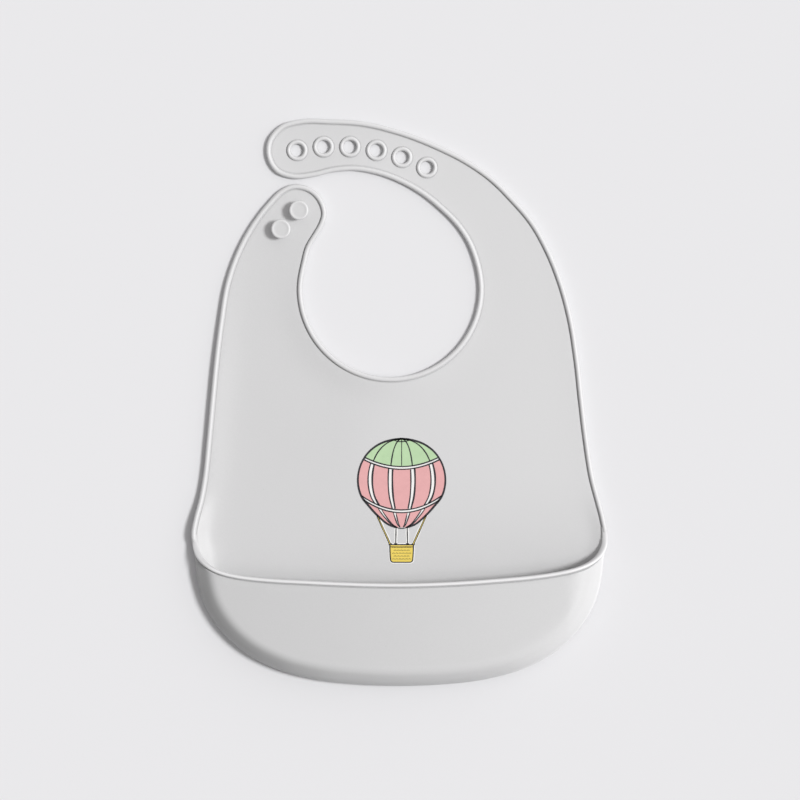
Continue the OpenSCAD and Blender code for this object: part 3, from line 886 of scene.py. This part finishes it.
def wall_station(point, crest_turn_here):
    """Foot, inward normal, inset and turn of the wall below point; None on the front."""
    distance, nearest = near_outline(point[:2])
    foot, inward = DENSE[nearest[0]], DENSE_IN[nearest[0]]
    inset, z = wall_inset(foot), widest_z(foot)
    depth = float(distance[0]) - inset
    if depth >= WALL_IN_MAX - 0.02:
        return None
    turn_by_depth = float(np.interp(depth, WALL_IN, WALL_TURN))
    height_share = (point[2] - z) / (front_z(point[0]) - z)
    turn_by_height = float(np.interp(height_share, WALL_UP, WALL_TURN))
    # the steep lower wall is read by height, the flatter upper wall by depth
    weight = float(ease(0.5, 0.9, crest_turn_here))
    turn = max((1 - weight) * turn_by_height + weight * turn_by_depth, 0.008)
    return foot, inward, inset, turn


mouth_stations = [wall_station(p, turn) for p, turn in zip(bead_start, crest_turn)]
on_plate = [j for j, station in enumerate(mouth_stations) if station is None]
first_plate, last_plate = on_plate[0], on_plate[-1]


# ---------------------------------------------------------------- pocket mesh
def nearest_dense(point):
    return near_outline(point)[1][0]


# Stations of the wall, left corner round the bottom to right corner.
left_stations = mouth_stations[:first_plate]
right_stations = mouth_stations[last_plate + 1:]
walk_start = nearest_dense(left_stations[-1][0])
walk_end = nearest_dense(right_stations[0][0])
if walk_end <= walk_start:
    walk_end += len(DENSE)
walk = np.array([DENSE[k % len(DENSE)] for k in range(walk_start, walk_end + 1)])
full_stations = [(p, DENSE_IN[nearest_dense(p)], wall_inset(p), QUARTER)
                 for p in resample(walk, MESH_STEP, False)[1:-1]]
wall_stations = left_stations + full_stations + right_stations

FOOT_ANGLES = [0, 15, 30, 45, 60, 75]
OUTER_STEPS, INNER_STEPS = 22, 14


def outer_rows(foot, inward, inset, turn):
    """From the foot on the floor, up the outside of the wall."""
    rows = []
    for angle in np.radians(FOOT_ANGLES):
        depth = inset + FOOT_IN * (1 - math.sin(angle))
        rows.append((*(foot + inward * depth), widest_z(foot) * (1 - math.cos(angle))))
    rows += [wall_point(foot, inward, inset, turn * i / OUTER_STEPS)
             for i in range(OUTER_STEPS + 1)]
    return rows


def inner_rows(foot, inward, inset, turn):
    """Down the inside of the wall to the sheet."""
    rows, widest = [], widest_z(foot)
    for i in range(INNER_STEPS, -1, -1):
        part = turn * i / INNER_STEPS
        depth = inset + WALL_T + ((WALL_IN_MAX - WALL_T) / WALL_IN_MAX
                                  * float(np.interp(part, WALL_TURN, WALL_IN)))
        x, y = foot + inward * depth
        share = float(np.interp(part, WALL_TURN, WALL_UP))
        rows.append((x, y, widest + (front_z(x) - WALL_T - widest) * share))
    bottom = min(SHEET_T, widest * 0.8)
    rows.append((*(foot + inward * (inset + 2.5)), 0.55 * widest + 0.45 * bottom))
    rows.append((*(foot + inward * (inset + FOOT_IN)), bottom))
    return rows


# Mouth bead, rows: distance from the crest along the surface (+ away from the free edge),
# height above the surface.
LIP_SECTION = np.array([
    [1.85, -0.03], [1.66, -0.24], [1.54, -0.58], [1.40, -0.78], [1.22, -0.78],
    [1.09, -0.52], [1.00, 0.02], [0.92, 0.55], [0.74, 0.96], [0.42, 1.24],
    [0.04, 1.34], [-0.34, 1.26], [-0.68, 1.02], [-0.92, 0.62], [-1.04, 0.05],
    [-1.10, -0.60], [-1.06, -1.20], [-0.88, -1.68], [-0.45, -1.98], [0.1, -2.08],
    [0.7, -2.02], [1.3, -1.90]])
# Painted light on each row of the mouth's bead: a painted highlight over the crest, painted shade
# in the groove below it.
LIP_PAINTED_LIGHT = np.array([
    0, -0.2, -0.8, -1, -1, -0.8, -0.2, 0.5, 1.5, 2.6, 3.0, 2.4, 1.4, 0.4, 0, 0, 0, 0, 0, 0, 0, 0])
LIP_FADE = 14                                     # the bead changes over this much at its ends
PLATE_PITCH = 3.4

crest_run = run_lengths(crest)
corner_fade = ease(0, LIP_FADE, np.minimum(crest_run, crest_run[-1] - crest_run))[:, None]
below = LIP_SECTION[:, 1] < 0
# thinner below the surface where it joins the side bead
lip_z = LIP_SECTION[:, 1] * np.where(below, 0.72 + 0.28 * corner_fade, 1.0)
lip_rows = (crest[:, None, :] + crest_back[:, None, :] * LIP_SECTION[:, 0, None]
            + crest_normal[:, None, :] * lip_z[:, :, None])
outer_wall = np.array([outer_rows(*station) for station in wall_stations])
inner_wall = np.array([inner_rows(*station) for station in wall_stations])


def wall_painted_light():
    """Painted light on the wall: a painted highlight on the right, where the inward normal points
    left; painted shade on the lower left and along its outline, on the foot, and a little towards
    the top.
    """
    stations, rows = outer_wall.shape[:2]
    edge = near_outline(outer_wall.reshape(-1, 3)[:, :2])[0].reshape(stations, rows)
    inward = np.array([station[1] for station in wall_stations])
    painted_outline_shade = (ease(0.1, 0.6, inward @ np.array([0.9, 0.35]))[:, None]
           * (1 - ease(0.9, 3.2, edge)))
    painted_wall_shade = (ease(0.15, 0.75, inward @ np.array([0.95, 0.30]))[:, None]
            * ease(1.2, 3.0, edge) * (1 - ease(5.0, 11.0, edge)))
    painted_highlight = ease(-0.15, -0.5, inward[:, 0])[:, None]
    painted_light_value = painted_highlight * (0.95 * (1 - ease(2.0, 12.0, edge)) + 1.5 * (1 - ease(0.3, 1.4, edge)))
    painted_light_value -= 1.55 * painted_wall_shade + 1.5 * painted_outline_shade
    painted_light_value -= 0.2 * ease(9.0, 13.0, edge) * (1 - 0.6 * painted_highlight)
    # painted shade on the foot, under the widest line
    painted_light_value[:, :len(FOOT_ANGLES)] = -1.2
    return painted_light_value.ravel()


def build_pocket():
    verts, faces = [], []
    stations, outer_size = outer_wall.shape[:2]
    crests, lip_size = lip_rows.shape[:2]
    inner_size = inner_wall.shape[1]
    outer_base = 0
    inner_base = stations * outer_size
    lip_base = inner_base + stations * inner_size
    for block in (outer_wall, inner_wall, lip_rows):
        verts.extend(map(tuple, block.reshape(-1, 3)))
    plate_base = len(verts)

    for i in range(stations - 1):
        outer, outer_next = outer_base + i * outer_size, outer_base + (i + 1) * outer_size
        inner, inner_next = inner_base + i * inner_size, inner_base + (i + 1) * inner_size
        faces += row_faces(outer, outer_next, outer_size)
        faces += row_faces(inner, inner_next, inner_size)
        faces.append((inner + inner_size - 1, inner_next + inner_size - 1, outer_next, outer))
    for i in range(crests - 1):
        row = lip_base + i * lip_size
        faces += row_faces(row, row + lip_size, lip_size)

    # outer and inner skins of the front, bounded by the mouth's bead and the wall's top
    full_end = first_plate + len(full_stations)
    for drop, base, size, wall_row, lip_row in (
            (0.0, outer_base, outer_size, outer_size - 1, 0),
            (WALL_T, inner_base, inner_size, 0, lip_size - 1)):
        along_mouth = []
        for x, y, _ in bead_start[first_plate:last_plate + 1]:
            along_mouth.append(len(verts))
            verts.append((x, y, front_z(x) - drop))
        along_wall = [base + i * size + wall_row for i in range(first_plate - 1, full_end + 1)]
        loop_index = along_wall + along_mouth[::-1]
        loop = np.array([verts[i][:2] for i in loop_index])
        points = hex_grid(loop.min(0), loop.max(0), PLATE_PITCH)
        points = points[inside(loop, points)]
        points = points[clear_of([loop], points, PLATE_PITCH / 2)]
        index = loop_index + list(range(len(verts), len(verts) + len(points)))
        verts.extend([(x, y, front_z(x) - drop) for x, y in points])
        for triangle in fill(loop, [], points):
            faces.append(tuple(index[i] for i in triangle))

        # join the bead to the front, and to the wall at both ends
        joins = ([base + i * size + wall_row for i in range(first_plate)] + along_mouth
                 + [base + i * size + wall_row for i in range(full_end, stations)])
        for j in range(crests - 1):
            row = lip_base + j * lip_size + lip_row
            faces.append((joins[j], joins[j + 1], row + lip_size, row))

    # end caps at the mouth's corners
    for i, j in ((0, 0), (stations - 1, crests - 1)):
        loop = ([outer_base + i * outer_size + k for k in range(outer_size)]
                + [lip_base + j * lip_size + k for k in range(lip_size)]
                + [inner_base + i * inner_size + k for k in range(inner_size)])
        verts.append(tuple(np.mean([verts[k] for k in loop], 0)))
        for k in range(len(loop)):
            faces.append((loop[k], loop[(k + 1) % len(loop)], len(verts) - 1))

    # the low parts rise with the sheet
    verts = np.array(verts)
    z = verts[:, 2]
    verts[:, 2] = z + lift_at(verts[:, :2]) * np.clip(1 - z / 10.0, 0, 1)
    rim = np.zeros(len(verts))
    rim[:inner_base] = wall_painted_light()
    # painted highlight and shade of the mouth's bead, weaker towards its ends
    rim[lip_base:plate_base] = (LIP_PAINTED_LIGHT * (0.3 + 0.7 * corner_fade)).ravel()
    # the front's skins and the caps' centres are painted a little darker all over
    rim[plate_base:] = -0.2
    return make_object("pocket_shell", verts, faces, SILICONE, rim=rim)


pocket = build_pocket()

# ---------------------------------------------------------------- studs
# Rows: radius, height above the sheet, and painted light: a painted highlight round the top edge
# of the head.
STUD_SECTION = [
    (4.1, -0.25, 0), (3.95, 0.02, 0), (3.62, 0.10, 0), (3.32, 0.30, 0), (3.12, 0.62, 0),
    (3.02, 1.1, 0), (3.0, STUD_H - 3.0, 0), (3.06, STUD_H - 2.72, 0), (3.35, STUD_H - 2.52, 0),
    (STUD_R - 0.9, STUD_H - 2.42, 0), (STUD_R - 0.45, STUD_H - 2.30, 0),
    (STUD_R - 0.15, STUD_H - 1.98, 0.1), (STUD_R - 0.02, STUD_H - 1.5, 0.3),
    (STUD_R, STUD_H - 1.0, 0.6), (STUD_R - 0.05, STUD_H - 0.6, 0.9),
    (STUD_R - 0.20, STUD_H - 0.28, 1), (STUD_R - 0.46, STUD_H - 0.08, 1),
    (STUD_R - 0.80, STUD_H, 1), (STUD_R - 1.12, STUD_H - 0.05, 0.6),
    (STUD_R - 1.5, STUD_H - 0.16, 0.2), (STUD_R - 2.2, STUD_H - 0.2, 0), (1.6, STUD_H - 0.2, 0)]
STUD_SIDES = 56


def make_stud(name, place):
    centre = np.array(place) * FIT
    base = SHEET_T + float(lift_at(centre[None])[0])
    verts, faces, rim = [], [], []
    for radius, z, painted_light_value in STUD_SECTION:
        for k in range(STUD_SIDES):
            angle = 2 * math.pi * k / STUD_SIDES
            verts.append((centre[0] + radius * math.cos(angle),
                          centre[1] + radius * math.sin(angle), base + z))
            rim.append(painted_light_value)
    for j in range(len(STUD_SECTION) - 1):
        lower, upper = j * STUD_SIDES, (j + 1) * STUD_SIDES
        for k in range(STUD_SIDES):
            n = (k + 1) % STUD_SIDES
            faces.append((lower + k, lower + n, upper + n, upper + k))
    top_ring = len(verts) - STUD_SIDES
    top_centre, bottom_centre = len(verts), len(verts) + 1
    verts += [(*centre, base + STUD_SECTION[-1][1]), (*centre, base + STUD_SECTION[0][1])]
    for k in range(STUD_SIDES):
        n = (k + 1) % STUD_SIDES
        faces.append((top_ring + k, top_ring + n, top_centre))
        faces.append((n, k, bottom_centre))
    return make_object(name, verts, faces, SILICONE, rim=rim + [0, 0])


studs = [make_stud("stud_upper", (-54.2, 103.2)), make_stud("stud_lower", (-63.9, 93.1))]

# ---------------------------------------------------------------- printed balloon
BALLOON_X = 1.2 * FIT_X                           # its upright centre line
# Right half of the envelope, rows: distance from the centre line, y.
HALF_ENVELOPE = open_curve(np.array([
    [0, -19.8], [4, -20.2], [12.4, -22.9], [18, -27.3], [21.4, -32.4],
    [23.3, -38.5], [23.4, -45], [21.6, -51], [17.6, -56.2],
    [12.4, -61.8], [6.5, -66.4], [3.2, -67.6]]) * FIT, 9)
BAND_HALF_W = 25.6                                # half width over which the bands sag
BAND_W = 1.5
SEAMS = [-0.72, -0.26, 0.26, 0.72]                # as shares of the half width
SEAM_HALF_W = 0.048                               # the same
EDGE_GAP = 0.012                                  # the same, between gores and outline
BASKET_TOP, BASKET_BOTTOM = -77.0 * FIT_Y, -86.4 * FIT_Y
BASKET_HALF_W, BASKET_CORNER_R = 6.3, 1.5
WEAVE_ROWS, WEAVE_PITCH, WEAVE_HALF_W = 6, 1.75, 0.72
CREAM_FILM, COLOUR_FILM = 0.050, 0.085            # film heights above the sheet

INKS = {
    "dark": ink_material("ink_dark", (0.016, 0.015, 0.020), roughness=0.45),
    "pink": ink_material("ink_pink", (0.80, 0.42, 0.42)),
    "cream": ink_material("ink_cream", (0.93, 0.925, 0.905)),
    "green": ink_material("ink_green", (0.50, 0.70, 0.42)),
    "yellow": ink_material("ink_yellow", (0.86, 0.66, 0.12))}


def gore_line(share, inset=0.0):
    """Line from crown to mouth at a share of the half width: 0 is the middle, 1 the right."""
    along = np.gradient(HALF_ENVELOPE, axis=0)
    along /= np.linalg.norm(along, axis=1)[:, None]
    half = HALF_ENVELOPE + np.stack([along[:, 1], -along[:, 0]], 1) * inset
    return np.stack([BALLOON_X + share * half[:, 0], half[:, 1]], 1)


def sagging(x, y, depth):
    return y * FIT_Y - depth * (1 - ((x - BALLOON_X) / BAND_HALF_W) ** 2)


def upper_band_top(x):
    return sagging(x, y=-26.6, depth=8.2)


def upper_band_bottom(x):
    return upper_band_top(x) - BAND_W


def lower_band_top(x):
    return sagging(x, y=-47.4, depth=10.8)


def lower_band_bottom(x):
    return lower_band_top(x) - BAND_W


class Film:
    """Flat ink shapes, each a thin closed slab."""

    def __init__(self, name, material, height):
        self.name, self.material = name, material
        self.bottom, self.top = SHEET_T - 0.02, SHEET_T + height
        self.verts, self.faces = [], []

    def add(self, shape):
        shape = np.asarray(shape, float)
        shape = shape[np.linalg.norm(shape - np.roll(shape, 1, 0), axis=1) > 1e-4]
        x, y = shape[:, 0], shape[:, 1]
        area = 0.5 * np.sum(x * np.roll(y, -1) - np.roll(x, -1) * y)
        if abs(area) < 1e-4:
            return
        if area < 0:
            shape = shape[::-1]
        count, start = len(shape), len(self.verts)
        for z in (self.top, self.bottom):
            self.verts += [(x, y, z) for x, y in shape]
        for triangle in tessellate_polygon([[Vector((x, y, 0)) for x, y in shape]]):
            self.faces.append(tuple(start + i for i in triangle))
            self.faces.append(tuple(start + count + i for i in triangle[::-1]))
        for i in range(count):
            n = (i + 1) % count
            self.faces.append((start + i, start + count + i, start + count + n, start + n))

    def stroke(self, line, width, taper=0.0):
        """A line whose width wavers a little and thins to its ends by taper."""
        line = resample(np.asarray(line, float), 0.5, False)
        along = np.gradient(line, axis=0)
        along /= np.linalg.norm(along, axis=1)[:, None] + 1e-12
        across = np.stack([-along[:, 1], along[:, 0]], 1)
        t = np.linspace(0, 1, len(line))
        half = width / 2 * (1 - taper * np.abs(2 * t - 1) ** 3)
        half = (half * (1 + 0.10 * np.sin(t * 9 + line[0, 0])))[:, None]
        self.add(np.vstack([line + across * half, (line - across * half)[::-1]]))

    def finish(self):
        return make_object(self.name, self.verts, self.faces, self.material, smooth=False)


def rope(side, top, bottom):
    """Line from top (distance out, y) to the basket's top edge; side is -1 or 1."""
    return [[BALLOON_X + side * top[0], top[1] * FIT_Y], [BALLOON_X + side * bottom, BASKET_TOP]]


def basket(grow):
    """Basket outline with bulging sides and rounded bottom corners."""
    points = []
    side_length = BASKET_BOTTOM - BASKET_TOP - grow + BASKET_CORNER_R
    for t in np.linspace(0, 1, 9):
        points.append((BALLOON_X - BASKET_HALF_W - grow + 0.35 * t * t,
                       BASKET_TOP + grow + side_length * t))
    radius = BASKET_CORNER_R + grow
    for angle in np.radians(np.linspace(180, 270, 7)[1:]):
        points.append((BALLOON_X - 4.45 + radius * math.cos(angle),
                       BASKET_BOTTOM + BASKET_CORNER_R + radius * math.sin(angle)))
    left_half = np.array(points)
    right_half = left_half[::-1].copy()
    right_half[:, 0] = 2 * BALLOON_X - right_half[:, 0]
    return np.vstack([left_half, right_half])


def cut_line(line, top, bottom):
    """The stretch of a gore line between two edges, ending exactly on them."""
    def meeting(within, outside, edge):
        gap, gap_outside = (p[1] - edge(p[0]) for p in (within, outside))
        return within + (outside - within) * gap / (gap - gap_outside)

    x, y = line[:, 0], line[:, 1]
    keep = np.ones(len(line), bool)
    if top:
        keep &= y <= top(x) + 1e-9
    if bottom:
        keep &= y >= bottom(x) - 1e-9
    first, last = np.where(keep)[0][[0, -1]]
    stretch = line[keep]
    if top and first > 0:
        stretch = np.vstack([meeting(line[first], line[first - 1], top), stretch])
    if bottom and last < len(line) - 1:
        stretch = np.vstack([stretch, meeting(line[last], line[last + 1], bottom)])
    return stretch


def gore_patch(share_left, share_right, top=None, bottom=None):
    """Part of the envelope between two gore lines and two edges given as functions of x."""
    left = cut_line(gore_line(share_left), top, bottom)
    right = cut_line(gore_line(share_right), top, bottom)
    pieces = [left]
    if bottom:
        xs = np.linspace(left[-1, 0], right[-1, 0], 14)[1:-1]
        pieces.append(np.stack([xs, bottom(xs)], 1))
    pieces.append(right[::-1])
    if top:
        xs = np.linspace(right[0, 0], left[0, 0], 14)[1:-1]
        pieces.append(np.stack([xs, top(xs)], 1))
    return np.vstack(pieces)


def print_cream():
    film = Film("print_halo_white", INKS["cream"], CREAM_FILM)
    film.add(np.vstack([gore_line(-1, inset=1.0), gore_line(1, inset=1.0)[::-1]]))
    for side in (-1, 1):
        film.stroke(rope(side, (13.4, -60.2), 6.1), 1.9)
        # the inner rope lies to the right of the centre line's offset on both sides
        film.stroke(rope(side, (3, -67.0), 3.2), 1.7)
    film.add(basket(0.8))
    return film.finish()


def print_pink():
    film = Film("print_pink_gores", INKS["pink"], COLOUR_FILM)
    shares = [-1.0] + SEAMS + [1.0]
    for left, right in zip(shares[:-1], shares[1:]):
        left += SEAM_HALF_W if left > -1 else EDGE_GAP
        right -= SEAM_HALF_W if right < 1 else EDGE_GAP
        film.add(gore_patch(left, right, top=upper_band_bottom, bottom=lower_band_top))
        film.add(gore_patch(left, right, top=lower_band_bottom))
    return film.finish()


def print_green():
    film = Film("print_green_cap", INKS["green"], COLOUR_FILM)
    shares = [-1.0] + SEAMS + [1.0]
    for left, right in zip(shares[:-1], shares[1:]):
        film.add(gore_patch(left, right, bottom=upper_band_top))
    return film.finish()


def stroke_band_edges(film):
    xs = np.linspace(BALLOON_X - 25, BALLOON_X + 25, 120)
    for edge in (upper_band_top, upper_band_bottom, lower_band_top, lower_band_bottom):
        ys = edge(xs)
        half_width = np.interp(ys, HALF_ENVELOPE[::-1, 1], HALF_ENVELOPE[::-1, 0])
        within = np.abs(xs - BALLOON_X) <= half_width
        film.stroke(np.stack([xs[within], ys[within]], 1), 0.70)


def stroke_seams(film):
    for seam in SEAMS:
        for offset, width in ((-SEAM_HALF_W, 0.68), (SEAM_HALF_W, 0.92)):
            line = gore_line(seam + offset)
            x, y = line[:, 0], line[:, 1]
            film.stroke(line[(y <= upper_band_bottom(x)) & (y >= lower_band_top(x))], width)
            film.stroke(line[y <= lower_band_bottom(x)], 0.62, taper=0.5)
        stroke_cap_seam(film, seam, 0.66)
    stroke_cap_seam(film, 0, 0.42)


def stroke_cap_seam(film, share, width):
    line = gore_line(share)
    film.stroke(line[line[:, 1] >= upper_band_top(line[:, 0])], width)


def stroke_basket(film):
    loop = basket(0.05)
    film.stroke(np.vstack([loop, loop[:1]]), 0.60)
    dash = np.linspace(-WEAVE_HALF_W, WEAVE_HALF_W, 9)
    dash_rise = 0.28 * (1 - (dash / WEAVE_HALF_W) ** 2)
    for row in range(1, WEAVE_ROWS):
        y = BASKET_TOP + (BASKET_BOTTOM - BASKET_TOP) * row / WEAVE_ROWS
        for column in range(-3, 4):
            x = BALLOON_X + (column + (0.5 if row % 2 else 0.0)) * WEAVE_PITCH
            if abs(x - BALLOON_X) <= 5.2:
                film.stroke(np.stack([x + dash, y + dash_rise], 1), 0.24)
    rim_y = BASKET_TOP - 1.15
    film.stroke([[BALLOON_X - BASKET_HALF_W, rim_y], [BALLOON_X + BASKET_HALF_W, rim_y]], 0.40)


def print_dark():
    film = Film("print_dark_lines", INKS["dark"], INK_T)
    for share in (-1, 1):
        film.stroke(gore_line(share), 1.04)
    stroke_band_edges(film)
    stroke_seams(film)
    # rings at the crown and the mouth of the envelope
    for y, half_width in ((-20.6 * FIT_Y, 4.2), (-67.4 * FIT_Y, 3.6)):
        xs = np.linspace(-half_width, half_width, 21)
        film.stroke(np.stack([BALLOON_X + xs, y - 0.8 * (1 - (xs / half_width) ** 2)], 1), 0.5)
    for side in (-1, 1):
        film.stroke(rope(side, (13.9, -60.5), 6.5), 0.42)
        film.stroke(rope(side, (13.1, -60.9), 5.7), 0.34)
        film.stroke(rope(side, (3.0, -67.6), 3.2), 0.55)
    stroke_basket(film)
    return film.finish()


def print_yellow():
    film = Film("print_yellow_basket", INKS["yellow"], COLOUR_FILM)
    for side in (-1, 1):
        film.stroke(rope(side, (13.5, -60.4), 6.1), 0.75)
    film.add(basket(0.0))
    return film.finish()


# Printed film, the frame's piece it stands for, its slot.
prints = [
    (print_cream(), "print_cream", "ink_cream"), (print_pink(), "print_pink", "ink_pink"),
    (print_green(), "print_green", "ink_green"), (print_dark(), "print_outline", "ink_dark"),
    (print_yellow(), "print_basket", "ink_yellow")]

# ---------------------------------------------------------------- frame pieces hidden, studs and print set on their bodies
for name, (_, pieces) in SHEET_PARTS.items():
    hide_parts(*pieces)
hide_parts("pocket_wall", "pocket_lip", "pocket_front")
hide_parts("upper_stud")
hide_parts("lower_stud")
for film, piece, _ in prints:
    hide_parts(piece)

# Part: the two links it bends between, a point on the fold, the fold's direction in
# degrees, and how far the bend reaches to each side.
FOLDS = {
    "sheet_long_root": ("yoke", "long_shoulder", (65.5, 62), 2, 10),
    "sheet_long_side": ("long_shoulder", "long_side", (46.5, 100.5), 33, 10),
    "sheet_long_band": ("long_side", "long_band", (27, 120), 55, 7.5),
    "sheet_long_tip": ("long_band", "long_tip", (-19.55, 136.75), 83, 8.5),
    "sheet_short_root": ("yoke", "short_shoulder", (-73, 60), 178, -9),
    "sheet_short_tip": ("short_shoulder", "short_tip", (-68, 82.5), 155, -9)}
for name, (fixed, moving, point, degrees, reach) in FOLDS.items():
    point = np.array(point) * FIT
    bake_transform(sheet[name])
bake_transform(sheet["sheet_chest"])
for stud in studs:
    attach(stud, "short_tip")
for film, _, _ in prints:
    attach(film, "chest")
# The pocket and the panel below it have their placement baked into their meshes.
for pressed in (pocket, sheet["sheet_panel"]):
    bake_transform(pressed)


# ---------------------------------------------------------------- floor, light, camera
# Metres from here on.
def add_floor(half_size=3):
    mesh = bpy.data.meshes.new("floor")
    corners = [(x * half_size, y * half_size, 0) for x, y in ((-1, -1), (1, -1), (1, 1), (-1, 1))]
    mesh.from_pydata(corners, [], [(0, 1, 2, 3)])
    floor = link_object("floor", mesh)
    floor.location.z = -0.0001                    # just clear of the back face
    mesh.materials.append(floor_material())


def add_world():
    """Near-white surround, brighter towards +X and +Y."""
    world = bpy.data.worlds.new("studio")
    world.use_nodes = True
    tree = world.node_tree
    place = tree.nodes.new("ShaderNodeTexCoord").outputs["Generated"]
    facing = add_node(tree, "ShaderNodeVectorMath", {0: place, 1: (0.84, 0.54, 0.0)},
                      operation="DOT_PRODUCT")
    swing, mean = 0.34, 0.46
    strength = maths(tree, "MULTIPLY_ADD", facing.outputs["Value"], swing, mean)
    set_inputs(tree, tree.nodes["Background"], {0: (1.0, 0.985, 0.985, 1), 1: strength})
    bpy.context.scene.world = world


def add_key_light(energy, size_degrees, elevation_degrees, azimuth_degrees):
    sun = bpy.data.lights.new("key", "SUN")
    sun.energy = energy
    sun.angle = math.radians(size_degrees)
    elevation, azimuth = math.radians(elevation_degrees), math.radians(azimuth_degrees)
    towards_sun = Vector((math.cos(elevation) * math.cos(azimuth),
                          math.cos(elevation) * math.sin(azimuth), math.sin(elevation)))
    link_object("key", sun).rotation_euler = towards_sun.to_track_quat("Z", "Y").to_euler()


def add_camera(view_width):
    """Looks straight down; view_width is the width seen on the floor."""
    camera = bpy.data.cameras.new("camera")
    camera.sensor_width = 36
    camera.lens = 36 * 2.0 / view_width           # from 2 m up
    camera.clip_start, camera.clip_end = 0.05, 20
    placed = link_object("camera", camera)
    placed.location = CAMERA * MM
    placed.rotation_euler = (0, 0, 0)
    bpy.context.scene.camera = placed


add_floor()
add_world()
add_key_light(energy=2.2, size_degrees=14, elevation_degrees=54, azimuth_degrees=6)
add_camera(view_width=0.432)
view = bpy.context.scene.view_settings
view.view_transform = "Standard"
view.look = "None"

bpy.context.view_layer.update()
